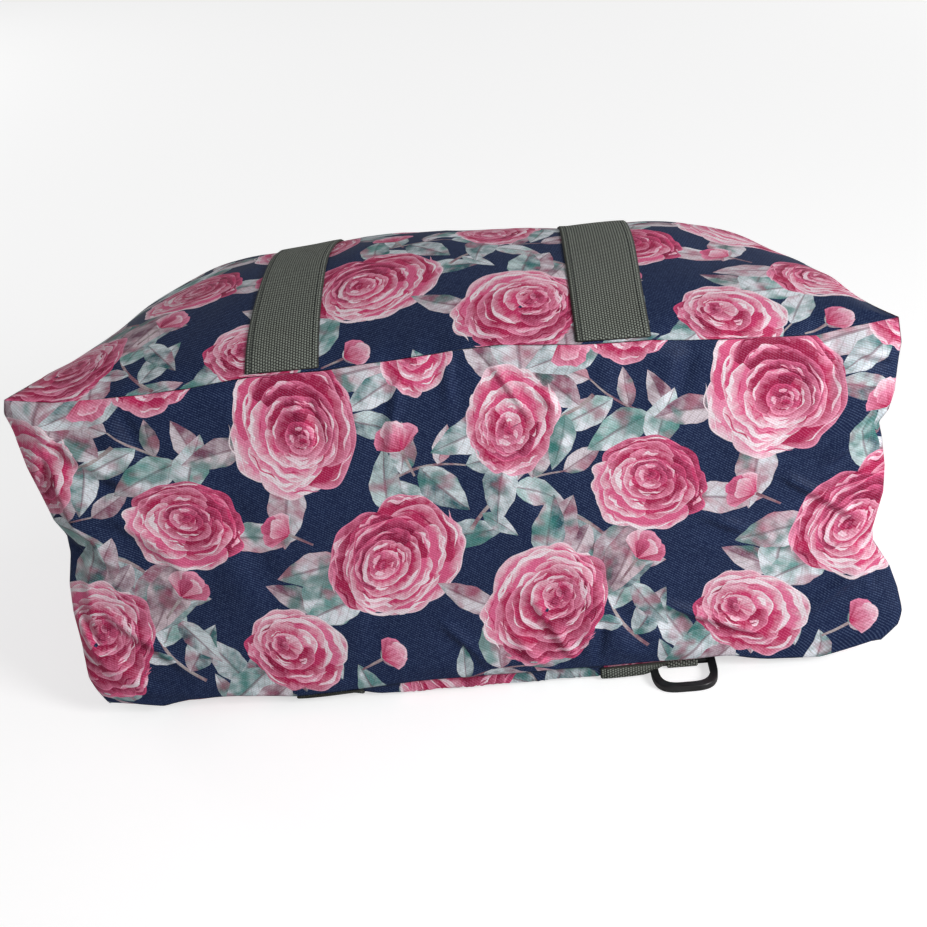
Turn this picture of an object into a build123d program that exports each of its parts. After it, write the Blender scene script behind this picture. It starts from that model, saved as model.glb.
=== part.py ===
from build123d import *
import os
from math import asin, cos, degrees, pi, radians, sin, sqrt

# A soft printed holdall that lies on its back panel. Millimetres, +Z up, +X along the base and
# +Y from the base to the zipped mouth. The origin is under the middle of the overall box.

# Body of the bag
base_length = 550.0          # corner to corner along the base's upper seam
base_height = 223.0          # the base panel across, from the back seam to the front seam
base_lean = 8.3              # degrees that the base panel leans back
bottom_shortening = 5.0      # how much nearer the middle the base's lower corners are
bag_depth = 335.0            # from the base's upper seam to the mouth
cloth = 1.6                  # printed cloth with its backing
crown_radius = 246.0         # arch of the front panel, seen from the end
crown_distance = 112.0       # from the base's upper seam to the top of the arch
crown_flat_half = 128.0      # half of the width over which the front panel is level
shoulder_drop = 50.0         # how far the front panel falls to its end seams
mouth_half = 222.0           # half of the mouth's length
taper_power = 1.8            # how quickly the ends draw in behind the base
end_pinch = 12.0             # hollow of each end edge at the base
end_pinch_middle = 15.0      # and how much deeper it is half way to the mouth
back_seam_lift = 12.0        # the base's lower seam above the surface
back_lift_run = 62.0         # over which the back panel comes down from that seam
back_rise_distance = 267.0   # from the base's lower seam to where the back panel rises again
back_rise_radius = 110.0
stitch_gap = 0.2             # between a panel and the webbing sewn on it
back_lift_power = 1.5        # how soon the back panel comes down
shoulder_start_power = 4     # how soon behind the base the shoulders fall
shoulder_end_power = 3       # and how late they level out towards the mouth
station_count = 16           # sections along the depth of the bag, closer at its two ends

# Webbing handles
webbing_width = 44.0
webbing_thickness = 1.8
handle_spacing = 205.0       # centre to centre of the two legs
front_leg_reach = 280.0      # distance from the base's upper seam at which the stitching ends
back_leg_reach = 240.0
loop_reach = 258.0           # length of a free loop, from the end of the stitching to its top
front_twist_start = 70.0     # the free webbing starts to turn on edge here
front_twist_end = 150.0
back_twist_start = 96.0
back_twist_end = 152.0
leg_steps = 20
straight_steps = 12
arch_steps = 8

# Base board and lining
board_thickness = 2.5
board_margin = 16.0          # round the base board, inside the base panel
board_gap = 0.3
lining_gap = 3.4             # from the printed cloth to the lining
lining_thickness = 0.8
lining_mouth_gap = 9.0       # the lining stops this far inside the mouth

# Zip
slot_height = 15.0
strip_thickness = 1.6
tape_width = 13.0
tape_thickness = 0.8
tape_end_gap = 8.0           # from the end of the tape to the end of the mouth
coil_width = 2.6
coil_thickness = 2.4
coil_round = 0.6
coil_gap = 1.4
zip_tab_length = 26.0
zip_tab_width = 34.0
zip_tab_thickness = 1.4
slider_length = 15.0
slider_half_width = 5.4
slider_plate = 1.5
slider_round = 2.7
slider_clearance = 0.3
slider_rest = 9.0            # from the middle of the zip to the middle of each slider
post_length = 4.0
post_thickness = 0.8
flange_length = 9.0
flange_thickness = 0.9
bridge_width = 2.6
bridge_bar = 1.2
bridge_round = 0.9
bridge_inner_length = 5.0
bridge_inner_height = 2.7
puller_length = 30.0
puller_width = 9.0
puller_thickness = 1.6
puller_round = 2.2
grip_width = 4.5             # the hollow pressed into each face of a puller
grip_depth = 0.4
eye_width = 4.4
eye_length = 4.6
cross_bar_radius = 0.8
cross_bar_height = 1.5

# Moulded ring and its tab beside the back handle's leg
ring_offset = 135.0          # from the middle of the bag
ring_width = 44.0
ring_reach = 29.0            # from the middle of the bar to the ring's round end
ring_bar_radius = 2.3
ring_band = 5.0
ring_round = 1.0
ring_side = 9.5              # the straight part of the ring's sides
ring_bar_from_seam = 11.0    # from the base's lower seam to the middle of the bar
tab_width = 19.0
tab_thickness = 1.3
tab_clearance = 0.2
tab_length = 50.0
tab_fold_length = 23.0       # where the fold's upper layer meets the lower one
tab_fold_angle = 60.0        # where the fold leaves the ring's bar
tab_floor_gap = 0.1

webbing_half = webbing_width / 2
leg_offset = handle_spacing / 2
rest_height = webbing_thickness + stitch_gap
seam_y = -base_height * sin(radians(base_lean))
base_top = back_seam_lift + base_height * cos(radians(base_lean))
crown_sink = crown_radius - sqrt(crown_radius**2 - crown_distance**2)
rise_y = seam_y + back_rise_distance


def front_height(y):
    """Height of the front panel's middle at a distance y behind the base's upper seam."""
    arch = sqrt(crown_radius**2 - (y - crown_distance) ** 2) - crown_radius
    return base_top + crown_sink + arch


def back_height(y):
    """Height of the back panel at y: down from the base's seam, level, then up to the mouth."""
    if y > rise_y:
        return rest_height + back_rise_radius - sqrt(back_rise_radius**2 - (y - rise_y) ** 2)
    share = min(1.0, (y - seam_y) / back_lift_run)
    return rest_height + (back_seam_lift - rest_height) * (1 - share) ** back_lift_power


class Section:
    """One cross-section of the bag, in a plane that holds the X direction."""

    def __init__(self, share):
        self.share = share
        y_low = seam_y + share * (bag_depth - seam_y)
        y_high = share * bag_depth
        self.low = Vector(0, y_low, back_height(y_low))
        self.high = Vector(0, y_high, front_height(y_high))
        self.up = (self.high - self.low).normalized()
        self.span = (self.high - self.low).length
        near = (1 - share) ** taper_power
        half_base = base_length / 2
        self.x_high = mouth_half + (half_base - mouth_half) * near
        self.x_low = mouth_half + (half_base - bottom_shortening - mouth_half) * near
        fall = 1 - (1 - share) ** shoulder_start_power
        self.drop = shoulder_drop * fall * (1 - share**shoulder_end_power)
        deeper = end_pinch_middle * 4 * share * (1 - share)
        self.pinch = (end_pinch + deeper) * self.span / base_height

    def at(self, x, height):
        return self.low + self.up * height + Vector(x, 0, 0)

    def corner_high(self, side, inset):
        return self.at(side * (self.x_high - inset), self.span - self.drop - inset)

    def corner_low(self, side, inset):
        return self.at(side * (self.x_low - inset), inset)

    def shoulder(self, side, inset):
        """From the level part of the front panel down to the end seam."""
        corner_x = self.x_high - inset
        top = self.span - inset
        start = self.at(side * crown_flat_half, top)
        middle = self.at(side * (crown_flat_half + corner_x) / 2, top)
        return Edge.make_bezier(start, middle, self.corner_high(side, inset))

    def level(self, inset):
        top = self.span - inset
        return Edge.make_line(self.at(-crown_flat_half, top), self.at(crown_flat_half, top))

    def end_edge(self, side, inset):
        """The hollow end edge, from the upper corner to the lower one."""
        middle_x = (self.x_high + self.x_low) / 2 - inset - 2 * self.pinch
        middle = self.at(side * middle_x, (self.span - self.drop) / 2)
        return Edge.make_bezier(self.corner_high(side, inset), middle, self.corner_low(side, inset))

    def bottom_edge(self, inset):
        return Edge.make_line(self.corner_low(-1, inset), self.corner_low(1, inset))

    def outline(self, inset=0.0):
        edges = [self.shoulder(-1, inset), self.level(inset), self.shoulder(1, inset)]
        edges += [self.end_edge(1, inset), self.bottom_edge(inset), self.end_edge(-1, inset)]
        return Wire(edges)

    def normal(self):
        """The direction from the base to the mouth, square to the section."""
        return Vector(1, 0, 0).cross(self.up) * -1


def stations(start=0.0, stop=1.0):
    shares = [(1 - cos(pi * i / station_count)) / 2 for i in range(station_count + 1)]
    return [Section(start + (stop - start) * share) for share in shares]


def mitre(a, b):
    return Edge.make_line(a, b)


def front_strip(section):
    outer = [section.shoulder(-1, 0), section.level(0), section.shoulder(1, 0)]
    inner = [section.shoulder(-1, cloth), section.level(cloth), section.shoulder(1, cloth)]
    ends = [mitre(section.corner_high(side, 0), section.corner_high(side, cloth)) for side in (-1, 1)]
    return Wire(outer + [ends[1]] + inner + [ends[0]])


def back_strip(section):
    ends = [mitre(section.corner_low(side, 0), section.corner_low(side, cloth)) for side in (-1, 1)]
    return Wire([section.bottom_edge(0), ends[1], section.bottom_edge(cloth), ends[0]])


def end_strip(section, side):
    high = mitre(section.corner_high(side, 0), section.corner_high(side, cloth))
    low = mitre(section.corner_low(side, 0), section.corner_low(side, cloth))
    return Wire([section.end_edge(side, 0), low, section.end_edge(side, cloth), high])


def skin(strip):
    return Solid.make_loft([strip(section) for section in stations()])


def slab(section, thickness, outward=1):
    """A flat sheet that covers a section of the bag."""
    return Solid.extrude(Face(section.outline()), section.normal() * thickness * outward)


# Panels of the body
parts = {}
base_section = Section(0.0)
mouth_section = Section(1.0)
parts["base_panel"] = slab(base_section, cloth, -1)
parts["front_panel"] = skin(front_strip)
parts["back_panel"] = skin(back_strip)
parts["left_end_panel"] = skin(lambda section: end_strip(section, -1))
parts["right_end_panel"] = skin(lambda section: end_strip(section, 1))

# Base board, flat against the inside of the base panel
board_width = 2 * (base_section.x_low - base_section.pinch - board_margin)
board_height = base_section.span - 2 * board_margin
board_plane = Plane(
    origin=base_section.at(0, base_section.span / 2) + base_section.normal() * board_gap,
    x_dir=(1, 0, 0),
    z_dir=base_section.normal(),
)
board_face = board_plane * RectangleRounded(board_width, board_height, board_margin)
parts["base_board"] = extrude(board_face, board_thickness)

# Lining: a thin bag inside the printed one, open at the mouth
lining_inset = cloth + lining_gap


def lining_body(inset, back_off):
    start = (back_off + lining_gap) / bag_depth
    stop = 1 - (lining_mouth_gap - back_off) / bag_depth
    return Solid.make_loft([section.outline(inset) for section in stations(start, stop)])


lining_hollow = lining_body(lining_inset + lining_thickness, lining_thickness)
parts["lining"] = lining_body(lining_inset, 0.0) - lining_hollow

# Zip: two strips of cloth, two tapes and two rows of teeth along the mouth
mouth_y = bag_depth
zip_z = (mouth_section.low.Z + mouth_section.high.Z) / 2
zip_half = mouth_half - cloth - tape_end_gap
tape_y = mouth_y - tape_thickness / 2
mouth_sheet = slab(mouth_section, strip_thickness)
band = 2 * mouth_section.span
for name, side in (("front", 1), ("back", -1)):
    half = Box(4 * mouth_half, 8 * strip_thickness, band)
    half = Location((0, mouth_y, zip_z + side * (slot_height + band) / 2)) * half
    parts[f"{name}_zip_strip"] = mouth_sheet & half
    coil_z = zip_z + side * (coil_gap + coil_width) / 2
    tape_z = zip_z + side * (coil_gap / 2 + coil_width + tape_width / 2)
    coil = Box(2 * zip_half, coil_thickness, coil_width)
    coil = fillet(coil.edges().filter_by(Axis.X), coil_round)
    parts[f"{name}_zip_coil"] = Location((0, tape_y, coil_z)) * coil
    parts[f"{name}_zip_tape"] = Location((0, tape_y, tape_z)) * Box(2 * zip_half, tape_thickness, tape_width)

# Cloth tabs over the two ends of the zip
tab_y = mouth_y + strip_thickness + zip_tab_thickness / 2
for name, side in (("left", -1), ("right", 1)):
    tab = Box(zip_tab_length, zip_tab_thickness, zip_tab_width)
    tab = fillet(tab.edges().filter_by(Axis.Y), zip_tab_thickness)
    parts[f"{name}_zip_tab"] = Location((side * (zip_half - zip_tab_length / 2), tab_y, zip_z)) * tab

# Sliders: two plates round the teeth, a post between the two rows, flanges and a bridge
channel = coil_thickness / 2 + slider_clearance
plate_top = channel + slider_plate
flange_z = coil_gap / 2 + coil_width + slider_clearance + flange_thickness / 2
flange_depth = channel - tape_thickness / 2 - slider_clearance


def slider_body():
    """Built at the origin: X along the zip, Y outwards, Z across the tapes."""
    body = Box(post_length, 2 * channel, post_thickness)
    for face in (-1, 1):
        plate = Box(slider_length, slider_plate, 2 * slider_half_width)
        plate = fillet(plate.edges().filter_by(Axis.Y), slider_round)
        body += Location((0, face * (channel + slider_plate / 2), 0)) * plate
        for side in (-1, 1):
            flange = Box(flange_length, flange_depth, flange_thickness)
            body += Location((0, face * (channel - flange_depth / 2), side * flange_z)) * flange
    bridge_length = bridge_inner_length + 2 * bridge_bar
    bridge = Box(bridge_length, bridge_inner_height + bridge_bar, bridge_width)
    bridge = fillet(bridge.edges().filter_by(Axis.Z), bridge_round)
    bridge -= Location((0, -bridge_bar / 2, 0)) * Box(bridge_inner_length, bridge_inner_height, bridge_width)
    foot = plate_top + (bridge_inner_height + bridge_bar) / 2
    base = Box(bridge_length, bridge_bar, bridge_width)
    return body + Location((0, foot, 0)) * bridge + Location((0, plate_top - bridge_bar / 2, 0)) * base


def puller_body(direction):
    """Built round its cross bar, lying along X in the given direction."""
    length = puller_length - cross_bar_radius
    eye_end = cross_bar_radius + eye_length
    plate = Box(length, puller_thickness, puller_width)
    plate = fillet(plate.edges().filter_by(Axis.Y), puller_round)
    body = Location((direction * length / 2, 0, 0)) * plate
    body -= Location((direction * eye_end / 2, 0, 0)) * Box(eye_end, 2 * puller_thickness, eye_width)
    grip_length = length - eye_end - grip_width
    for face in (-1, 1):
        grip = Box(grip_length, 2 * grip_depth, grip_width)
        body -= Location((direction * (length + eye_end) / 2, face * puller_thickness / 2, 0)) * grip
    rail_overlap = (puller_width - eye_width) / 2
    return body + Cylinder(cross_bar_radius, eye_width + rail_overlap)


puller_y = tape_y + plate_top + cross_bar_height
for name, side in (("left", -1), ("right", 1)):
    place = Location((side * slider_rest, tape_y, zip_z))
    parts[f"{name}_zip_slider"] = place * slider_body()
    parts[f"{name}_zip_puller"] = Location((side * slider_rest, puller_y, zip_z)) * puller_body(side)


# Webbing handles: one flat strip each, sewn up one leg, free round the loop, and down the other
def strip_section(point, across, outward):
    half = across.normalized() * webbing_half
    thick = outward.normalized() * webbing_thickness
    corners = [point - half, point + half, point + half + thick, point - half + thick]
    return Wire([Edge.make_line(corners[i], corners[(i + 1) % 4]) for i in range(4)])


def free_loop(start, along, outward, twist_start, twist_end, floor_rise):
    """Sections of half of a free loop, from the end of the stitching to its top."""
    straight = loop_reach - leg_offset
    frames = []
    for i in range(1, straight_steps + 1):
        reach = straight * i / straight_steps
        turn = min(1.0, max(0.0, (reach - twist_start) / (twist_end - twist_start)))
        turn = turn * turn * (3 - 2 * turn) * pi / 2
        lift = floor_rise * (webbing_half * sin(turn))
        middle = start + along * reach + Vector(0, 0, lift)
        across = Vector(cos(turn), 0, 0) + outward * -sin(turn)
        normal = Vector(sin(turn), 0, 0) + outward * cos(turn)
        frames.append((middle + Vector(leg_offset, 0, 0), across, normal))
    for i in range(1, arch_steps + 1):
        angle = pi / 2 * i / arch_steps
        spot = start + along * (straight + leg_offset * sin(angle)) + Vector(0, 0, floor_rise * webbing_half)
        normal = Vector(cos(angle), 0, 0) + along * sin(angle)
        frames.append((spot + Vector(leg_offset * cos(angle), 0, 0), outward * -1, normal))
    return frames


def front_frames():
    frames = []
    for i in range(leg_steps + 1):
        y = front_leg_reach * i / leg_steps
        lean = asin((y - crown_distance) / crown_radius)
        outward = Vector(0, sin(lean), cos(lean))
        spot = Vector(0, y, front_height(y)) + outward * stitch_gap
        frames.append((spot + Vector(leg_offset, 0, 0), Vector(1, 0, 0), outward))
    along = Vector(0, cos(lean), -sin(lean))
    start = spot
    return frames + free_loop(start, along, outward, front_twist_start, front_twist_end, 0)


def back_frames():
    frames = []
    for i in range(leg_steps + 1):
        y = seam_y + (back_leg_reach - seam_y) * i / leg_steps
        height = back_height(min(y, rise_y))
        slope = back_height(min(y + 1, rise_y)) - height
        outward = Vector(0, slope, -1).normalized()
        spot = Vector(0, y, height) + outward * stitch_gap
        frames.append((spot + Vector(leg_offset, 0, 0), Vector(1, 0, 0), outward))
    start = spot
    return frames + free_loop(
        start, Vector(0, 1, 0), Vector(0, 0, -1), back_twist_start, back_twist_end, 1
    )


def mirrored(frame):
    point, across, normal = frame
    flip = [Vector(-v.X, v.Y, v.Z) for v in (point, across, normal)]
    return flip[0], flip[1] * -1, flip[2]


def handle(frames):
    return [mirrored(frame) for frame in frames] + frames[-2::-1]


def strip_solid(frames):
    return Solid.make_loft([strip_section(*frame) for frame in frames], ruled=True)


parts["front_handle"] = strip_solid(handle(front_frames()))
parts["back_handle"] = strip_solid(handle(back_frames()))

# Ring and tab: the bar lies in the tab's fold, the round end on the surface
tab_outer = ring_bar_radius + tab_clearance + tab_thickness
bar_y = seam_y + ring_bar_from_seam
bar_z = tab_outer + tab_floor_gap
ring_tilt = asin((bar_z - ring_band / 2) / ring_reach)
ring_half = ring_width / 2


def ring_outline(half, reach, back):
    """A half oval that runs out from the bar, with a straight side behind it."""
    with BuildSketch() as sketch:
        with BuildLine():
            Line((-half, back), (half, back))
            Line((half, back), (half, -ring_side))
            Spline((half, -ring_side), (0, -reach), (-half, -ring_side), tangents=[(0, -1), (0, 1)])
            Line((-half, -ring_side), (-half, back))
        make_face()
    return sketch.sketch


ring_outer = extrude(ring_outline(ring_half, ring_reach, ring_bar_radius), ring_band / 2, both=True)
ring_outer = fillet(ring_outer.edges(), ring_round)
ring_inner = extrude(
    ring_outline(ring_half - ring_band, ring_reach - ring_band, ring_bar_radius + 1), ring_band, both=True
)
ring_bar = Rot(0, 90, 0) * Cylinder(ring_bar_radius, ring_width - ring_band)
ring = ring_outer - ring_inner + ring_bar
parts["strap_ring"] = Location((ring_offset, bar_y, bar_z)) * Rot(degrees(ring_tilt), 0, 0) * ring

tail_top = tab_floor_gap + tab_thickness
fold = radians(tab_fold_angle)
with BuildSketch(Plane.YZ) as tab_sketch:
    with Locations((bar_y, bar_z)):
        Circle(tab_outer)
    with BuildLine():
        Polyline(
            (bar_y, tab_floor_gap),
            (bar_y + tab_length, tab_floor_gap),
            (bar_y + tab_length, tail_top),
            (bar_y + tab_fold_length, tail_top),
            (bar_y + tab_outer * cos(fold), bar_z + tab_outer * sin(fold)),
            close=True,
        )
    make_face()
    with Locations((bar_y, bar_z)):
        Circle(tab_outer - tab_thickness, mode=Mode.SUBTRACT)
tab_solid = extrude(tab_sketch.sketch, tab_width / 2, both=True)
parts["strap_ring_tab"] = Location((ring_offset, 0, 0)) * tab_solid

# The origin goes under the middle of the overall box
boxes = [part.bounding_box() for part in parts.values()]
low = Vector(*[min(getattr(box.min, axis) for box in boxes) for axis in "XYZ"])
high = Vector(*[max(getattr(box.max, axis) for box in boxes) for axis in "XYZ"])
origin_shift = Vector(-(low.X + high.X) / 2, -(low.Y + high.Y) / 2, -low.Z)

os.makedirs("parts", exist_ok=True)
for name, part in parts.items():
    export_step(Location(origin_shift) * part, f"parts/{name}.step")
print("origin shift", origin_shift, "overall", high - low)
print("zip line y, z", tape_y + origin_shift.Y, zip_z + origin_shift.Z)
print("puller bar y", puller_y + origin_shift.Y, "slider x", slider_rest)
print("ring bar y, z", bar_y + origin_shift.Y, bar_z + origin_shift.Z, "tilt", degrees(ring_tilt))
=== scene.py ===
import math
import random

import bmesh
import bpy
import numpy as np
from mathutils import Matrix, Vector
from mathutils.geometry import delaunay_2d_cdt


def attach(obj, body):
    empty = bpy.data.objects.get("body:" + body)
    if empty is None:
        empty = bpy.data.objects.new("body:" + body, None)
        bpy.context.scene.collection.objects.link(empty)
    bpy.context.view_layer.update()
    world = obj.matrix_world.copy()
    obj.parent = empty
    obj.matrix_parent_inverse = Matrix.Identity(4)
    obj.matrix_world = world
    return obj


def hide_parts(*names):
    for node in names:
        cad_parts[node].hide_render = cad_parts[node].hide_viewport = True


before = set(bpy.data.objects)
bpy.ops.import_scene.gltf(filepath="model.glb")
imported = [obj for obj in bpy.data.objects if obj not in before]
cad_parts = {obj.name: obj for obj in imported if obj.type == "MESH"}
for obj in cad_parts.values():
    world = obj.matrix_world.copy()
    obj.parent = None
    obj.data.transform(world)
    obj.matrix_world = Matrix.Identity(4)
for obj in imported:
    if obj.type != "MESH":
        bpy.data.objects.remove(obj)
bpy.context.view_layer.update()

# Sizes are in millimetres in a working frame whose y is 0 at the base's upper seam.
SHIFT = np.array([0.0, -224.782, 0.0101])
BASE_LENGTH, BASE_HEIGHT, BASE_LEAN = 550.0, 223.0, math.radians(8.3)
BOTTOM_SHORTENING, DEPTH = 5.0, 335.0
CROWN_RADIUS, CROWN_DISTANCE, CROWN_FLAT = 246.0, 112.0, 128.0
SHOULDER_DROP, MOUTH_HALF, TAPER_POWER = 50.0, 222.0, 1.8
END_PINCH, END_PINCH_MIDDLE = 12.0, 15.0
SEAM_LIFT, LIFT_RUN, RISE_DISTANCE, RISE_RADIUS = 12.0, 62.0, 267.0, 110.0
STITCH_GAP, WEB_WIDTH, WEB_THICK = 0.2, 44.0, 1.8
LEG_OFFSET, FRONT_REACH, BACK_REACH, LOOP_REACH = 102.5, 280.0, 240.0, 258.0
FRONT_TWIST, BACK_TWIST = (70.0, 150.0), (96.0, 152.0)
REST = WEB_THICK + STITCH_GAP
BULGE_FLOOR = REST + 0.4
SEAM_DRAW, SEAM_ROUND, SEAM_HOLD = 1.5, 2.4, 11
PUCKER_LENGTH, PUCKER_DEPTH, PUCKER_IN = 7.5, 0.9, 5
BASE_STAND_OFF, MOUTH_TURN = 1.6, 2.6
SEAM_Y = -BASE_HEIGHT * math.sin(BASE_LEAN)
BASE_TOP = SEAM_LIFT + BASE_HEIGHT * math.cos(BASE_LEAN)
CROWN_SINK = CROWN_RADIUS - math.sqrt(CROWN_RADIUS**2 - CROWN_DISTANCE**2)
RISE_Y = SEAM_Y + RISE_DISTANCE


def front_height(y):
    return BASE_TOP + CROWN_SINK + np.sqrt(CROWN_RADIUS**2 - (y - CROWN_DISTANCE) ** 2) - CROWN_RADIUS


def back_height(y):
    share = np.clip((y - SEAM_Y) / LIFT_RUN, 0, 1)
    low = REST + (SEAM_LIFT - REST) * (1 - share) ** 1.5
    over = np.clip(y - RISE_Y, 0, RISE_RADIUS)
    return low + RISE_RADIUS - np.sqrt(RISE_RADIUS**2 - over**2)


def smooth(x, a, b):
    t = np.clip((x - a) / (b - a), 0, 1)
    return t * t * (3 - 2 * t)


def bell(x, width):
    return np.exp(-((x / width) ** 2))


class Section:
    """The bag's cross-section at a share of its depth, for arrays of shares."""

    def __init__(self, share):
        self.share = s = np.asarray(share, float)
        self.y_low = SEAM_Y + s * (DEPTH - SEAM_Y)
        self.y_high = s * DEPTH
        self.z_low, self.z_high = back_height(self.y_low), front_height(self.y_high)
        dy, dz = self.y_high - self.y_low, self.z_high - self.z_low
        self.span = np.hypot(dy, dz)
        self.up_y, self.up_z = dy / self.span, dz / self.span
        near = np.maximum(1 - s, 0) ** TAPER_POWER
        half = BASE_LENGTH / 2
        self.x_high = MOUTH_HALF + (half - MOUTH_HALF) * near
        self.x_low = MOUTH_HALF + (half - BOTTOM_SHORTENING - MOUTH_HALF) * near
        self.drop = SHOULDER_DROP * (1 - (1 - s) ** 4) * (1 - s**3)
        self.pinch = (END_PINCH + END_PINCH_MIDDLE * 4 * s * (1 - s)) * self.span / BASE_HEIGHT
        self.end_height = self.span - self.drop

    def at(self, x, height):
        return np.stack([x, self.y_low + self.up_y * height, self.z_low + self.up_z * height], -1)

    def end_x(self, height):
        t = 1 - height / self.end_height
        middle = (self.x_high + self.x_low) / 2 - 2 * self.pinch
        return self.x_high * (1 - t) ** 2 + 2 * middle * t * (1 - t) + self.x_low * t * t

    def top(self, x):
        t = np.clip((np.abs(x) - CROWN_FLAT) / (self.x_high - CROWN_FLAT), 0, 1.05)
        return self.span - self.drop * t * t


# Lengths along the panels, so that the print keeps its scale on each of them
SHARES = np.linspace(0, 1, 401)
sections = Section(SHARES)


def arc(y, z):
    return np.concatenate([[0], np.cumsum(np.hypot(np.diff(y), np.diff(z)))])


ARC_HIGH = arc(sections.y_high, sections.z_high)
ARC_LOW = arc(sections.y_low, sections.z_low)
ARC_END = arc((sections.y_low + sections.y_high) / 2, np.zeros_like(SHARES))

# What the photograph shows of the base's outline: distance down from the upper seam, then x
LEFT_EDGE = [
    (0, -279), (12, -283), (32, -281), (50, -278), (70, -272.5), (88, -268), (99, -261.5), (112, -261.5),
    (134, -266.5), (155, -268), (185, -267), (201, -265), (219, -257), (223, -254),
]
RIGHT_EDGE = [
    (0, 276), (19, 279), (50, 275.5), (61, 272), (69, 265.5), (79, 267.5), (98, 269.5), (116, 268.5),
    (132, 264), (141, 261.5), (150, 262), (169, 273), (184, 277.5), (200, 280), (210, 278), (223, 268),
]
# How far the base's upper seam sags: x, then the distance
SEAM_SAG = [
    (-275, 0), (-243, 5), (-195, 5), (-165, 4), (-123, 0), (-78, 0), (-40, -2), (3, -5), (34, -6), (83, -1),
    (126, 0), (167, 4), (189, 5), (224, 7), (240, 4), (275, 0),
]
# The front panel's crown against the plain one: x, then how much higher it lies
CROWN_LIFT = [
    (-275, 0), (-190, -3.5), (-130, -2.5), (-100, 0), (-60, 4.5), (0, 5), (50, 0), (85, -6), (170, -8),
    (215, -3), (250, 2), (275, 0),
]

# How far the base's lower seam hangs below the plain one: x, then the distance
LOWER_HANG = [
    (-250, 0), (-228, 3.5), (-205, 0), (-165, 0), (-127, 4.5), (-85, 3), (-45, 0), (165, 0), (192, 5.5),
    (225, 7), (262, 0),
]


def lines(x, knots):
    xs, ys = zip(*knots)
    return np.interp(x, xs, ys)


def edge_shift(h):
    """How far each end edge of the base lies from the plain hollow curve, at h below the upper seam."""
    height = BASE_HEIGHT - h
    plain = Section(np.zeros_like(height)).end_x(np.clip(height, 0, BASE_HEIGHT))
    return lines(h, LEFT_EDGE) + plain, lines(h, RIGHT_EDGE) - plain


WAVES = [
    (0.021, 0.9, 0.3, 0.4, 1.7, 1.5), (0.034, -0.6, 0.8, 0.2, 4.1, 1.1), (0.047, 0.3, -0.9, 0.5, 0.6, 0.8),
    (0.071, 0.8, 0.5, -0.7, 2.9, 0.45), (0.093, -0.5, 0.6, 0.9, 5.3, 0.32), (0.13, 0.7, -0.8, 0.4, 1.1, 0.16),
]


def undulation(p):
    """Soft, uneven slackness of the cloth, in millimetres."""
    total = np.zeros(len(p))
    for rate, a, b, c, phase, size in WAVES:
        bend = 0.8 * np.sin(p[:, 0] * rate * 0.43 + phase * 2) + 0.8 * np.sin(p[:, 2] * rate * 0.61 - phase)
        total += size * np.sin(rate * (a * p[:, 0] + b * p[:, 1] + c * p[:, 2]) + phase + bend)
    return total


def base_h(p):
    """Distance below the base's upper seam, measured down the base."""
    return (BASE_TOP - p[:, 2]) / math.cos(BASE_LEAN)


def along_line(p, a, b):
    """Distances along and across the line from a to b in the base's plane (x, h), and a fade at its ends."""
    (ax, ah), (bx, bh) = a, b
    dx, dh = bx - ax, bh - ah
    length = math.hypot(dx, dh)
    h = base_h(p)
    along = ((p[:, 0] - ax) * dx + (h - ah) * dh) / length
    across = ((p[:, 0] - ax) * -dh + (h - ah) * dx) / length
    fade = smooth(along, -0.25 * length, 0.3 * length) * (1 - smooth(along, 0.7 * length, 1.25 * length))
    return across, fade


CREASE_NARROW, CREASE_STRENGTH, CREASE_RIDGE, BOARD_GIVE = 0.82, 1.35, 0.75, 1.5


def crease(p, a, b, width, depth):
    """A valley along a line, with a soft ridge beside it."""
    across, fade = along_line(p, a, b)
    width, depth = width * CREASE_NARROW, depth * CREASE_STRENGTH
    return fade * depth * (CREASE_RIDGE * bell(across - 1.9 * width, 1.5 * width) - bell(across, width))


def fold(p, a, b, height, depth):
    """Cloth that laps over along a line: raised on the line's left, hollow on its right."""
    across, fade = along_line(p, a, b)
    lapped = 1 / (1 + np.exp(np.clip(across / 0.9, -30, 30)))
    raised = height * np.exp(-np.maximum(-across, 0) / 13)
    hollow = depth * np.exp(-np.maximum(across, 0) / 9)
    return fade * (raised * lapped - hollow * (1 - lapped))


def flap(p, corners, height):
    """A small flat triangle of cloth that stands off the base."""
    h = base_h(p)
    share = np.ones(len(p))
    for (ax, ah), (bx, bh) in zip(corners, corners[1:] + corners[:1]):
        across = ((p[:, 0] - ax) * (bh - ah) - (h - ah) * (bx - ax)) / math.hypot(bx - ax, bh - ah)
        share *= 1 / (1 + np.exp(np.clip(-across / 0.8, -30, 30)))
    return height * share


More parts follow.
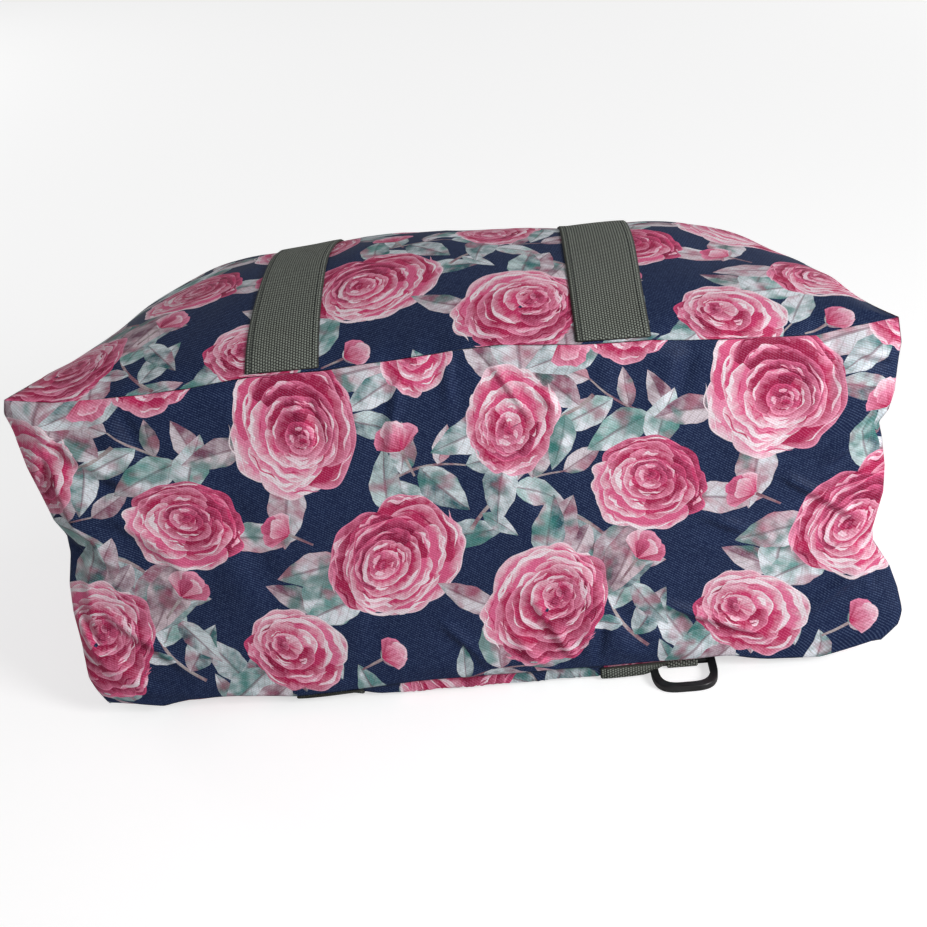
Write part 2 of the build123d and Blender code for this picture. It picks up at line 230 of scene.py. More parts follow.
# Valleys in the base's cloth: the line's ends as (x, h), its width and its depth
BASE_CREASES = [
    ((-262, 132), (-244, 182), 4.0, 3.2), ((-236, 26), (-264, 70), 6.0, 3.2),
    ((-252, 158), (-214, 206), 7.0, 2.6), ((7, -6), (5, 34), 4.0, 2.6), ((20, -4), (26, 26), 3.4, 1.6),
    ((47, 20), (70, 36), 3.4, 2.0), ((6, 38), (9, 60), 4.0, 1.3), ((78, 140), (108, 208), 7.0, 1.8),
    ((262, 71), (230, 92), 4.6, 3.6), ((266, 32), (240, 20), 3.4, 2.4), ((262, 142), (224, 156), 5.0, 3.0),
    ((252, 168), (214, 214), 7.0, 2.6), ((120, 190), (165, 215), 6.0, 1.8),
    ((-120, 205), (-60, 214), 6.0, 1.8), ((-205, 4), (-188, 52), 6.0, 2.2), ((150, 2), (136, 52), 6.0, 2.0),
    ((205, 50), (180, 140), 10.0, 2.0), ((-150, 70), (-128, 150), 11.0, 1.8),
    ((-40, 120), (-72, 196), 10.0, 1.6), ((34, 190), (54, 224), 4.6, 3.4), ((84, 188), (76, 222), 4.2, 2.6),
    ((30, 60), (66, 120), 9.0, 1.5), ((232, 4), (224, 44), 5.0, 2.0),
    ((-90, 10), (-84, 46), 5.0, 1.6), ((110, 4), (100, 60), 6.0, 1.6),
]
# Ridges of slack cloth over the board: the line's ends as (x, h), its width and its height
BASE_RIDGES = [
    ((118, 176), (188, 206), 5.0, 2.8), ((150, 118), (216, 150), 6.0, 2.2), ((196, 94), (246, 130), 5.0, 2.4),
    ((205, 192), (250, 160), 5.0, 2.4), ((-246, 20), (-200, 66), 6.0, 2.6),
    ((-236, 150), (-196, 196), 5.5, 2.4),
    ((-216, 84), (-180, 130), 7.0, 2.0), ((-30, 8), (-44, 66), 5.0, 1.8), ((24, 6), (52, 54), 4.5, 2.2),
    ((60, 14), (64, 70), 6.0, 1.5), ((40, 168), (64, 214), 5.0, 2.4), ((-20, 180), (10, 216), 5.0, 1.8),
]
# Lapped folds near the base's ends: the line's ends as (x, h), the lap's height and the hollow's depth
END_FOLDS = [
    ((-249, 36), (-246, 88), 3.2, 3.4), ((-249, 78), (-231, 124), 4.0, 5.0),
    ((-264, 97), (-228, 118), 4.0, 6.0),
    ((262, 130), (262, 160), 1.6, 2.6), ((261, 154), (277, 184), 2.0, 3.4),
]
LEFT_FLAP, FLAP_HEIGHT = [(-257.0, 116.0), (-238.0, 123.0), (-252.0, 153.0)], 5.0
# A dent beside the left flap: its middle as x and h, its widths and its depth
DENT_X, DENT_H, DENT_WIDTHS, DENT_DEPTH = -243, 134, (11, 22), 4.0
# Slackness on the base and elsewhere, and how much of it is lost where the cloth lies on the floor or
# faces the mouth
BASE_SLACK, OTHER_SLACK, FLOOR_CALM, MOUTH_CALM = 0.75, 1.15, 0.97, 0.95
# How far the ends roll back at the base's left and right, and how wide the roll is
LEFT_ROLL, RIGHT_ROLL, ROLL_WIDTH = 11.0, 6.0, 30
SIDE_SPREAD, BULGE_OUT, HANG_LIMIT = 6.5, 4.0, 0.65


def deform(p, n, inner):
    """Moves points p, with outward directions n, of the plain bag to where the slack cloth lies.

    The inner value is 0 on a panel's seams, so that the panels still meet there."""
    x, y, z = p[:, 0].copy(), p[:, 1].copy(), p[:, 2].copy()
    h = base_h(p)
    behind = np.maximum(y - SEAM_Y * h / BASE_HEIGHT, 0)
    near_base = bell(behind, 75)
    left, right = edge_shift(np.clip(h, 0, BASE_HEIGHT))
    wl, wr = smooth(-x, 150, 262), smooth(x, 150, 262)
    q = p.copy()
    q[:, 0] += near_base * (left * wl + right * wr)
    q[:, 0] += SIDE_SPREAD * smooth(y, 25, 120) * smooth(np.abs(x), 60, 220) * (1 - smooth(y, 270, 335))
    crown = smooth(y, 5, 105) * (1 - smooth(y, 240, 335)) * smooth(z, 60, 190)
    q[:, 2] += lines(x, CROWN_LIFT) * crown
    # The upper seam sags, and its line waves a little
    upper = bell(np.maximum(h, 0), 70) * bell(np.maximum(y, 0), 60)
    q[:, 2] -= lines(x, SEAM_SAG) * upper
    at_seam = bell(h, 16) * bell(y, 16)
    ripple = 0.9 * np.sin(x / 13 + 1.5 * np.sin(x / 47)) + 0.7 * np.sin(x / 5.7 + 2 * np.sin(x / 31))
    q[:, 1] -= 0.8 * ripple * at_seam
    q[:, 2] += 0.5 * ripple * at_seam
    # Both ends of the base round off towards the end panels, and its lower corners are round
    side = Section(np.zeros_like(h)).end_x(np.clip(BASE_HEIGHT - h, 0, BASE_HEIGHT))
    over_board = smooth(251 - np.abs(x), 0, 8) * smooth(h, 6, 14) * (1 - smooth(h, 208, 216))
    to_edge = np.clip((side - np.abs(x)) / ROLL_WIDTH, 0, 1)
    rolled = (1 - to_edge) ** 2 * np.where(x < 0, LEFT_ROLL, RIGHT_ROLL) * near_base * smooth(h, -4, 30)
    rolled *= 1 - 0.85 * smooth(h, 178, 212)
    q[:, 1] += rolled * (1 - over_board)
    corner = np.clip((h - 200) / 23, 0, 1) ** 2.2 * near_base
    q[:, 0] += corner * (2.0 * smooth(-x, 225, 262) - 4.0 * smooth(x, 225, 272))
    lower = smooth(h, 170, 223) * near_base
    q[:, 2] += lower * (2.5 * smooth(x, 225, 275) + 1.5 * smooth(-x, 244, 266) ** 2)
    room = HANG_LIMIT * np.maximum(q[:, 2] - BULGE_FLOOR, 0)
    q[:, 2] -= np.minimum(lower * lines(x, LOWER_HANG), room)
    # The back panel bulges out under the base's lower seam
    under = np.clip(-n[:, 2], 0, 1) ** 2
    run = y - SEAM_Y
    sag = under * smooth(x, -96, -66) * (1 - smooth(x, 106, 132)) * smooth(run, 0.0, 7.0)
    q[:, 2] -= sag * np.maximum(q[:, 2] - BULGE_FLOOR, 0) * (1 - smooth(run, 45, 62))
    q[:, 1] -= sag * BULGE_OUT * bell(run - 7, 6)
    on_base = np.clip(-n[:, 1], 0, 1) ** 2
    slack = BASE_SLACK * on_base + OTHER_SLACK * (1 - on_base)
    on_floor = np.clip(-n[:, 2], 0, 1)
    on_mouth = np.clip(n[:, 1], 0, 1) ** 8
    push = undulation(p) * slack * (1 - FLOOR_CALM * on_floor) * (1 - MOUTH_CALM * on_mouth)
    for a, b, width, depth in BASE_CREASES:
        push += crease(p, a, b, width, depth) * on_base
    for a, b, width, height in BASE_RIDGES:
        push -= crease(p, a, b, width, height) * on_base
    for a, b, height, depth in END_FOLDS:
        push += fold(p, a, b, height, depth) * on_base
    push -= DENT_DEPTH * bell(x - DENT_X, DENT_WIDTHS[0]) * bell(h - DENT_H, DENT_WIDTHS[1]) * on_base
    push += flap(p, LEFT_FLAP, FLAP_HEIGHT) * on_base
    # The board behind the base keeps the cloth from sinking in
    over_board *= on_base
    held = BOARD_GIVE * np.tanh(np.minimum(push, 0) / BOARD_GIVE) + np.maximum(push, 0)
    push = (push * (1 - over_board) + held * over_board) * inner
    q += n * push[:, None]
    return q


# Panels. Each maps flat print coordinates (a, b) in millimetres to the plain bag.
class Panel:
    def __init__(self, name, nodes, where, lo, hi, t_range, print_at, outward, shift=(0, 0), step=2.8):
        self.name, self.nodes, self.where = name, nodes, where
        self.lo, self.hi, self.t_range, self.outward = lo, hi, t_range, outward
        self.print_at, self.shift, self.step = print_at, np.array(shift, float), step

    def flat(self, a, b):
        return self.print_at(a, b) + self.shift

    def normals(self, where, a, b):
        e = 0.25
        da = where(a + e, b) - where(a - e, b)
        db = where(a, b + e) - where(a, b - e)
        n = np.cross(da, db) * self.outward
        return n / np.maximum(np.linalg.norm(n, axis=1, keepdims=True), 1e-9)

    def place(self, a, b):
        """Points of the dressed panel: slack inside, drawn in and puckered along its seams."""
        t0, t1 = self.t_range
        gaps = [a - self.lo(b), self.hi(b) - a, b - t0, t1 - b]
        d = np.maximum(np.minimum(np.minimum(gaps[0], gaps[1]), np.minimum(gaps[2], gaps[3])), 0)
        draw = [SEAM_DRAW * np.exp(-np.maximum(gap, -1) / SEAM_ROUND) for gap in gaps]
        a, b = a + draw[0] - draw[1], b + draw[2] - draw[3]
        p = self.where(a, b)
        n = self.normals(self.where, a, b)
        q = deform(p, n, 1 - bell(d, SEAM_HOLD))
        wave = 0.5 + 0.5 * np.sin((a + 0.7 * b) / PUCKER_LENGTH + 1.3 * np.sin((a - b) / 31.0))
        tuck = SEAM_DRAW * np.exp(-d / SEAM_ROUND) + PUCKER_DEPTH * wave * bell(d - PUCKER_IN, PUCKER_IN)
        return q - n * tuck[:, None]


BASE_PUFF, PUFF_EDGE, PUFF_END = 0.9, 12, 270


def base_where(a, b):
    p = Section(np.zeros_like(a)).at(a, b)
    inner = smooth(PUFF_END - np.abs(a), 0, PUFF_EDGE) * smooth(b, 0, PUFF_EDGE)
    inner *= 1 - smooth(b, BASE_HEIGHT - PUFF_EDGE, BASE_HEIGHT)
    out = BASE_STAND_OFF + BASE_PUFF * inner
    return p - np.outer(out, [0, math.cos(BASE_LEAN), -math.sin(BASE_LEAN)])


def base_side(side):
    def edge(b):
        return side * Section(np.zeros_like(b)).end_x(np.clip(b, 0, BASE_HEIGHT))
    return edge


def share_at(table, b):
    return np.interp(b, table, SHARES)


def extended(table, b):
    """The share of the depth for a length b, carried on a little beyond both ends."""
    s = share_at(table, b)
    first = (table[1] - table[0]) / (SHARES[1] - SHARES[0])
    last = (table[-1] - table[-2]) / (SHARES[-1] - SHARES[-2])
    return s + np.minimum(b - table[0], 0) / first + np.maximum(b - table[-1], 0) / last


def front_where(a, b):
    sec = Section(np.clip(extended(ARC_HIGH, b - BASE_HEIGHT), -0.01, 1.01))
    return sec.at(a, sec.top(a))


def front_side(side):
    return lambda b: side * Section(share_at(ARC_HIGH, b - BASE_HEIGHT)).x_high


def back_where(a, b):
    sec = Section(np.clip(extended(ARC_LOW, -b), -0.01, 1.01))
    return sec.at(a, np.zeros_like(a))


def back_side(side):
    return lambda b: side * Section(share_at(ARC_LOW, -b)).x_low


# An end panel's first flat coordinate runs from 0 to END_WIDTH over its height, wherever that changes
END_WIDTH, END_PRINT_START = 200.0, 262.0


def end_where(side):
    def where(a, b):
        sec = Section(np.clip(extended(ARC_END, b), -0.01, 1.01))
        height = sec.end_height * np.clip(a / END_WIDTH, -0.02, 1.02)
        return sec.at(side * sec.end_x(height), height)
    return where


def end_print(side):
    def at(a, b):
        height = a / END_WIDTH * Section(share_at(ARC_END, b)).end_height
        return np.stack([side * (END_PRINT_START + b), height], -1)
    return at


def same(a, b):
    return np.stack([a, b], -1)


def constant(value):
    return lambda b: np.full_like(b, value)


SIDES = (("left", -1), ("right", 1))
PANELS = [
    Panel("base_cloth", ["base_panel"], base_where, base_side(-1), base_side(1), (0.0, BASE_HEIGHT), same, 1),
    Panel("front_cloth", ["front_panel"], front_where, front_side(-1), front_side(1),
          (BASE_HEIGHT - BASE_STAND_OFF, BASE_HEIGHT + ARC_HIGH[-1] + MOUTH_TURN), same, 1, (118, 61)),
    Panel("back_cloth", ["back_panel"], back_where, back_side(-1), back_side(1),
          (-ARC_LOW[-1] - MOUTH_TURN, BASE_STAND_OFF), same, 1, (60, 40)),
]
for name, side in SIDES:
    PANELS.append(Panel(
        f"{name}_end_cloth", [f"{name}_end_panel"], end_where(side), constant(0.0), constant(END_WIDTH),
        (-BASE_STAND_OFF, ARC_END[-1] + MOUTH_TURN), end_print(side), -side,
    ))


# The two strips beside the zip and the tabs over its ends, on the mouth's plane
MOUTH = Section(1.0)
ZIP_HEIGHT, SLOT_HALF = float(MOUTH.span) / 2, 7.5
STRIP_THICK, STRIP_OVER, TAB_LENGTH, TAB_WIDTH, TAB_THICK = 1.6, 1.4, 26.0, 34.0, 1.4
ZIP_HALF, TAB_OUT = MOUTH_HALF - 1.6 - 8.0, 8.5


def mouth_where(stand_off, x=0.0):
    def where(a, b):
        return MOUTH.at(a + x, b) + np.array([0, stand_off, 0])
    return where


def mouth_side(side):
    return lambda b: side * (MOUTH.end_x(b) + STRIP_OVER)


for name, t_range in (
    ("back", (-STRIP_OVER, ZIP_HEIGHT - SLOT_HALF + STRIP_OVER)),
    ("front", (ZIP_HEIGHT + SLOT_HALF - STRIP_OVER, float(MOUTH.span) + STRIP_OVER)),
):
    PANELS.append(Panel(
        f"{name}_strip_cloth", [f"{name}_zip_strip"], mouth_where(STRIP_THICK),
        mouth_side(-1), mouth_side(1), t_range, same, -1, (40, 95),
    ))
for name, side in SIDES:
    PANELS.append(Panel(
        f"{name}_tab_cloth", [f"{name}_zip_tab"],
        mouth_where(STRIP_THICK + TAB_THICK, side * (ZIP_HALF - TAB_LENGTH / 2)),
        constant(-TAB_LENGTH / 2 - (TAB_OUT if side < 0 else 0.0)),
        constant(TAB_LENGTH / 2 + (TAB_OUT if side > 0 else 0.0)),
        (ZIP_HEIGHT - TAB_WIDTH / 2, ZIP_HEIGHT + TAB_WIDTH / 2), same, -1, (side * 90, 150), 1.6,
    ))


# The print: roses, buds, leaves and stems as simple shapes on navy
def srgb(*colour):
    """A linear colour, from sRGB levels of 0 to 255."""
    shares = [c / 255 for c in colour]
    return tuple(c / 12.92 if c <= 0.04045 else ((c + 0.055) / 1.055) ** 2.4 for c in shares)


def rgba(colour):
    return (*colour, 1.0)


def tones(*colours):
    return [srgb(*colour) for colour in colours]


NAVY = srgb(20, 35, 72)
STEM = srgb(138, 92, 104)
STEM_LIGHT = srgb(214, 214, 208)
VEIN = srgb(118, 70, 86)
ROSE_TONES = tones(
    (146, 12, 60), (186, 28, 80), (214, 58, 110), (233, 108, 150), (244, 160, 188), (250, 208, 222),
    (252, 234, 240),
)
LEAF_TONES = tones(
    (44, 84, 92), (84, 134, 132), (132, 180, 172), (184, 212, 208), (216, 228, 231), (236, 240, 246),
)
BLUSH_TONES = tones(
    (118, 72, 92), (172, 102, 122), (204, 146, 160), (220, 186, 194), (226, 212, 218), (228, 228, 234),
)
# Watered patches: noise offset, noise scale, the ramp's two ends, strength and colour
LEAF_PATCHES = [
    (7.0, 0.045, 0.5, 0.66, 0.75, srgb(48, 124, 114)), (19.0, 0.05, 0.54, 0.7, 0.6, srgb(178, 86, 112)),
]
# The first tone is painted shade in the gaps between the webbing's yarns.
WEB_GAP_SHADE, WEB_LIGHT, WEB_GREY, WEB_WARM = tones((26, 30, 30), (150, 157, 148), (92, 97, 90), (122, 116, 104))
# The second tone is painted shade in the stitch holes between the threads.
STITCH_TONE, STITCH_HOLE_SHADE = tones((38, 42, 41), (30, 31, 30))
# The last value is the strength of the painted sheen that is added to the twill's ribs.
TWILL_PITCH, WEFT_PITCH, PAINTED_SHEEN = 1.45, 1.7, 0.145
YARN_WIDTH, YARN_LENGTH, STITCH_INSET, STITCH_PITCH = 1.7, 2.2, 3.0, 4.0


def tone(table, level):
    level = min(max(level, 0.0), 1.0) * (len(table) - 1)
    i = min(int(level), len(table) - 2)
    return tuple(np.array(table[i]) * (1 - level + i) + np.array(table[i + 1]) * (level - i))


def tone_pair(table, level, down, up):
    """A shape's dark and light colours, a little below and above its level."""
    return tone(table, level - down), tone(table, level + up)


class Shape:
    """One flat shape of the print: its outline, its colours, and its own coordinates for the brush marks."""

    def __init__(self, outline, dark, light, kind, local, seed):
        self.outline, self.dark, self.light = outline, dark, light
        self.kind, self.local, self.seed = kind, local, seed


KIND_PETAL, KIND_LEAF, KIND_STEM = 1.0, 2.0, 3.0


def heading(angle):
    """The unit vector of an angle, or those of an array of angles."""
    return np.stack([np.cos(angle), np.sin(angle)], -1)


def polar(points, centre, angle, half):
    """The points' turns from an angle, in half widths, and their distances from the centre."""
    d = points - centre
    turned = np.angle(np.exp(1j * (np.arctan2(d[:, 1], d[:, 0]) - angle)))
    return turned / half, np.hypot(d[:, 0], d[:, 1])


def petal(rng, centre, angle, half, rho, rho_in, dark, light):
    """A petal about an angle, from one radius to another, with a wavy rim."""
    s = np.linspace(-1, 1, max(9, int(rho * half * 2 / 2.1)))
    theta = angle + s * half
    waves = 0.036 * np.sin(s * rng.uniform(2.5, 4.5) + rng.uniform(0, 6.28))
    waves += 0.016 * np.sin(s * rng.uniform(8, 12) + rng.uniform(0, 6.28))
    notch = rng.uniform(0.0, 0.07) * bell(s - rng.uniform(-0.6, 0.6), 0.14)
    rim = rho * (1 - 0.17 * np.abs(s) ** 3 + waves - notch)
    outer = centre + heading(theta) * rim[:, None]
    inner = centre + heading(theta[::-3]) * (rho_in * 0.55)

    def local(points):
        u, r = polar(points, centre, angle, half)
        return same(u, (r - rho_in) / np.maximum(np.interp(u, s, rim) - rho_in, 0.5))

    return Shape(np.concatenate([outer, inner]), dark, light, KIND_PETAL, local, rng.random())


def brush(rng, centre, angle, half, rho, thick, dark, light):
    """A crescent brush mark that runs along a petal."""
    s = np.linspace(-1, 1, max(8, int(rho * half * 2 / 2.4)))
    theta = angle + s * half
    middle = rho * (1 + 0.035 * np.sin(s * rng.uniform(3, 6) + rng.uniform(0, 6.28)))
    full = thick * (1 - s * s) ** 0.7 * (1 + 0.25 * np.sin(s * 9 + rng.uniform(0, 6.28)))
    way = heading(theta)
    outer, inner = way * (middle + full / 2)[:, None], way * (middle - full / 2)[:, None]
    outline = np.concatenate([outer, inner[-2:0:-1]])

    def local(points):
        u, r = polar(points, centre, angle, half)
        return same(u, 0.5 + (r - rho) / thick)

    return Shape(centre + outline, dark, light, KIND_PETAL, local, rng.random())


def squashed(shape, centre, matrix):
    """The same shape, turned and squashed about a point."""
    inverse = np.linalg.inv(matrix)
    outline = centre + (shape.outline - centre) @ matrix.T
    return Shape(
        outline, shape.dark, shape.light, shape.kind,
        lambda points: shape.local(centre + (points - centre) @ inverse.T), shape.seed,
    )


def rose(rng, x, y, radius, facing, pale):
    """A full rose: loose rings of petals that wrap its eye, paler on the side that it turns to the light."""
    shapes = []
    centre = np.array([x, y])
    eye = centre + radius * 0.24 * heading(facing)
    rings = max(3, int(round(radius / 7.6)))
    gap = radius / rings
    for k in range(rings):
        share = 1 - k / rings
        rho = radius * (0.12 + 0.88 * share**1.1)
        rho_in = radius * (0.12 + 0.88 * (1 - (k + 1) / rings) ** 1.1) if k < rings - 1 else 0.0
        middle = eye + (centre - eye) * share
        count = max(3, int(round(3.4 + share * 2.6)))
        start = rng.uniform(0, 6.28)
        order = list(range(count))
        rng.shuffle(order)
        for i in order:
            angle = start + i * 6.283 / count + rng.uniform(-0.3, 0.3)
            turned = 0.5 + 0.5 * math.cos(angle - pale)
            level = 0.2 + 0.52 * turned * (0.35 + 0.65 * share) + rng.uniform(-0.12, 0.18) + 0.05 * share
            half = 3.1416 / count * rng.uniform(1.1, 1.75)
            reach = rho * rng.uniform(0.93, 1.05)
            colours = tone_pair(ROSE_TONES, level, 0.26, 0.24)
            shapes.append(petal(rng, middle, angle, half, reach, rho_in, *colours))
            for _ in range(2):
                at = angle + half * rng.uniform(-0.35, 0.35)
                if rng.random() < 0.78:
                    colours = tone_pair(ROSE_TONES, level + rng.uniform(0.25, 0.55), 0.12, 0.18)
                    shapes.append(brush(
                        rng, middle, at, half * rng.uniform(0.3, 0.62), reach - gap * rng.uniform(0.12, 0.7),
                        gap * rng.uniform(0.12, 0.42), *colours,
                    ))
            if rng.random() < 0.7:
                colours = tone_pair(ROSE_TONES, level - rng.uniform(0.2, 0.45), 0.1, 0.12)
                shapes.append(brush(
                    rng, middle, angle + half * rng.uniform(-0.4, 0.4), half * rng.uniform(0.3, 0.6),
                    max(reach - gap * rng.uniform(0.5, 1.0), 1.5), gap * rng.uniform(0.08, 0.2), *colours,
                ))
    for _ in range(4):
        angle = rng.uniform(0, 6.28)
        spot = eye + radius * 0.05 * heading(angle)
        reach = radius * rng.uniform(0.07, 0.15)
        light = tone(ROSE_TONES, rng.uniform(0.1, 0.62))
        shapes.append(petal(rng, spot, angle + 2.6, 1.2, reach, 0.0, tone(ROSE_TONES, 0.0), light))
    turn = rng.uniform(0, 3.14)
    axis = np.array([[math.cos(turn), -math.sin(turn)], [math.sin(turn), math.cos(turn)]])
    matrix = axis @ np.diag([1.05, rng.uniform(0.84, 0.93)]) @ axis.T
    return [squashed(shape, centre, matrix) for shape in shapes]


def leaf(rng, x, y, length, angle, table, level, bend, width):
    """A pointed leaf from its foot at x, y; its bend and half width are shares of its length."""
    count = max(9, int(length / 3.2))
    t = np.linspace(0, 1, count)
    profile = width * length * np.sin(np.pi * t**0.82) ** 0.92 * (1 - 0.12 * t)
    profile[0] = profile[-1] = 0
    wobble = 1 + 0.05 * np.sin(t * 21 + rng.uniform(0, 6))
    along = heading(angle)
    side = np.array([-along[1], along[0]])
    line = np.array([x, y]) + np.outer(t * length, along) + np.outer(bend * length * t**2, side)
    upper = line + np.outer(profile * wobble, side)
    lower = line - np.outer(profile * (2 - wobble), side)

    def local(points):
        d = points - np.array([x, y])
        v = d @ along / length
        u = (d @ side - bend * length * np.clip(v, 0, 1) ** 2) / np.maximum(np.interp(v, t, profile), 0.6)
        return same(u, v)

    outline = np.concatenate([upper[:-1], lower[:0:-1]])
    return [Shape(outline, *tone_pair(table, level, 0.38, 0.42), KIND_LEAF, local, rng.random())]


def stem(rng, points, w0, w1):
    """A thin stem through points, w0 wide at its foot and w1 at its tip."""
    pts = np.array(points, float)
    knots = np.linspace(0, 1, len(pts))
    t = np.linspace(0, 1, max(6, 4 * len(pts)))
    coef = [np.polyfit(knots, pts[:, i], min(3, len(pts) - 1)) for i in (0, 1)]
    line = np.stack([np.polyval(c, t) for c in coef], -1)
    tangent = np.gradient(line, axis=0)
    tangent /= np.linalg.norm(tangent, axis=1, keepdims=True)
    side = np.stack([-tangent[:, 1], tangent[:, 0]], -1)
    w = (w0 + (w1 - w0) * t)[:, None] / 2
    light = tuple(0.45 * c + 0.55 * k for c, k in zip(STEM, STEM_LIGHT))
    outline = np.concatenate([line + side * w, (line - side * w)[::-1]])
    return [Shape(outline, STEM, light, KIND_STEM, lambda points: points / 6, rng.random())]


BUD_PETALS = [(-0.5, 0.95, 0.62), (0.5, 0.98, 0.6), (0.0, 1.05, 0.5), (-0.22, 0.8, 0.5), (0.25, 0.72, 0.45)]


def bud(rng, x, y, size, angle):
    """A half-open bud on a short stalk, with sepals."""
    root, way = np.array([x, y]), heading(angle)
    shapes = stem(rng, [root - way * size * 0.9, root - way * size * 0.4, root], 1.4, 2.2)
    for spread in (-0.9, 0.9, 0.15):
        length, turn = size * rng.uniform(0.55, 0.9), angle + spread + rng.uniform(-0.2, 0.2)
        level, bend = rng.uniform(0.35, 0.7), rng.uniform(-0.3, 0.3)
        shapes += leaf(rng, x, y, length, turn, BLUSH_TONES, level, bend, 0.13)
    for spread, reach, half in BUD_PETALS:
        colours = tone_pair(ROSE_TONES, rng.uniform(0.25, 0.65), 0.2, 0.25)
        shapes.append(petal(rng, root, angle + spread, half, size * reach, 0.1 * size, *colours))
    return shapes


# One tile of the print, which repeats with every other row shifted
TILE, ROW_SHIFT = (296.0, 268.0), 118.0
# Each rose's x, y, radius, the way that its eye faces and the way of its pale side
ROSES = [
    (48, 52, 45, 0.6, 2.3), (176, 34, 34, 2.6, 0.4), (250, 92, 46, 3.4, 5.2), (118, 128, 37, 1.2, 3.6),
    (36, 176, 33, 4.4, 1.2), (196, 190, 47, 5.2, 4.0), (112, 232, 25, 0.2, 2.2), (278, 226, 27, 2.0, 5.8),
]
# Each bud's x, y, size and angle
BUDS = [(108, 78, 20, 0.9), (184, 116, 18, 2.6), (262, 164, 20, 1.9), (70, 226, 19, 5.4), (232, 22, 17, 0.4)]
# Each sprig's foot x, y, its angle and its length
SPRIGS = [
    (4, 108, 0.5, 70), (112, 16, 2.0, 62), (204, 72, 3.9, 58), (70, 112, 5.3, 60), (146, 172, 2.7, 66),
    (240, 138, 0.2, 62), (88, 190, 3.4, 60), (150, 250, 0.4, 66), (246, 256, 3.3, 60), (12, 238, 1.2, 58),
]


def tile_shapes():
    """The tile's shapes, from the lowest to the topmost."""
    rng = random.Random(7)
    shapes = []
    for x, y, angle, reach in SPRIGS:
        foot = np.array([x, y])
        far, mid = foot + reach * heading(angle), foot + reach * 0.5 * heading(angle + 0.25)
        shapes += stem(rng, [foot, mid, far], 2.6, 1.0)
        for i, share in enumerate((0.18, 0.36, 0.56, 0.74, 1.0)):
            spot = foot * (1 - share) + far * share + (mid - (foot + far) / 2) * 4 * share * (1 - share)
            out = angle + (0 if share == 1.0 else (0.95 if i % 2 else -0.95) + rng.uniform(-0.25, 0.25))
            table = BLUSH_TONES if rng.random() < 0.42 else LEAF_TONES
            length = rng.uniform(26, 46) * (1.0 if share < 1 else 1.1)
            level, bend = rng.uniform(0.35, 0.85), rng.uniform(-0.16, 0.16)
            shapes += leaf(rng, *spot, length, out, table, level, bend, rng.uniform(0.2, 0.29))
    for x, y, radius, _, _ in ROSES:
        for _ in range(4):
            angle = rng.uniform(0, 6.28)
            table = BLUSH_TONES if rng.random() < 0.4 else LEAF_TONES
            spot = np.array([x, y]) + radius * 0.7 * heading(angle)
            length, way = rng.uniform(38, 58), angle + rng.uniform(-0.5, 0.5)
            level, bend = rng.uniform(0.3, 0.8), rng.uniform(-0.15, 0.15)
            shapes += leaf(rng, *spot, length, way, table, level, bend, rng.uniform(0.22, 0.3))
    for x, y, size, angle in BUDS:
        shapes += bud(rng, x, y, size, angle)
    for x, y, radius, facing, pale in ROSES:
        shapes += rose(rng, x, y, radius, facing, pale)
    return shapes


TILE_SHAPES = tile_shapes()
TILE_BOXES = [(s.outline.min(0), s.outline.max(0)) for s in TILE_SHAPES]


def new_mesh(name, points, faces):
    """A smooth mesh from points of the working frame."""
    mesh = bpy.data.meshes.new(name)
    mesh.from_pydata(((np.asarray(points) + SHIFT) / 1000).tolist(), [], faces)
    mesh.shade_smooth()
    return mesh


def add_object(name, data):
    obj = bpy.data.objects.new(name, data)
    bpy.context.scene.collection.objects.link(obj)
    return obj


def loop_edges(start, count):
    i = np.arange(count)
    return np.stack([start + i, start + (i + 1) % count], -1)


def within(points, outline):
    """Which points lie inside a closed outline."""
    inside = np.zeros(len(points), bool)
    x, y = points[:, 0], points[:, 1]
    for (x0, y0), (x1, y1) in zip(outline, np.roll(outline, -1, 0)):
        if y0 == y1:
            continue
        spans = (y0 > y) != (y1 > y)
        inside ^= spans & (x < (x1 - x0) * (y - y0) / (y1 - y0) + x0)
    return inside


def flat_points(panel):
    """The panel's outline and its inside points, in its flat coordinates."""
    (t0, t1), step = panel.t_range, panel.step
    ts = np.linspace(t0, t1, max(12, int((t1 - t0) / step)))
    lo, hi = panel.lo(ts), panel.hi(ts)
    across0 = np.linspace(lo[0], hi[0], max(20, int((hi[0] - lo[0]) / step)))
    across1 = np.linspace(lo[-1], hi[-1], len(across0))
    ring = np.concatenate([
        same(across0[:-1], np.full(len(across0) - 1, t0)), same(hi[:-1], ts[:-1]),
        same(across1[:0:-1], np.full(len(across1) - 1, t1)), same(lo[:0:-1], ts[:0:-1]),
    ])
    inside = []
    for i, t in enumerate(np.arange(t0 + step, t1 - step * 0.4, step * 0.866)):
        l, h = panel.lo(np.array([t]))[0], panel.hi(np.array([t]))[0]
        unit = step
        if panel.print_at is not same:
            unit = step * END_WIDTH / max(Section(share_at(ARC_END, t)).end_height, 30)
        row = np.arange(l + unit * (0.7 + 0.5 * (i % 2)), h - unit * 0.5, unit)
        inside.append(same(row, np.full(len(row), t)))
    return ring, np.concatenate(inside)


def shapes_over(low, high):
    """The print's shapes that reach into a box: each shape, its tile's place and its outline there."""
    found = []
    for j in range(int(low[1] // TILE[1]) - 1, int(high[1] // TILE[1]) + 2):
        shift_x = (j % 2) * ROW_SHIFT
        for i in range(int((low[0] - shift_x) // TILE[0]) - 1, int((high[0] - shift_x) // TILE[0]) + 2):
            move = np.array([i * TILE[0] + shift_x, j * TILE[1]])
            for shape, (b0, b1) in zip(TILE_SHAPES, TILE_BOXES):
                if not ((b0 + move > high).any() or (b1 + move < low).any()):
                    found.append((shape, move, shape.outline + move))
    return found


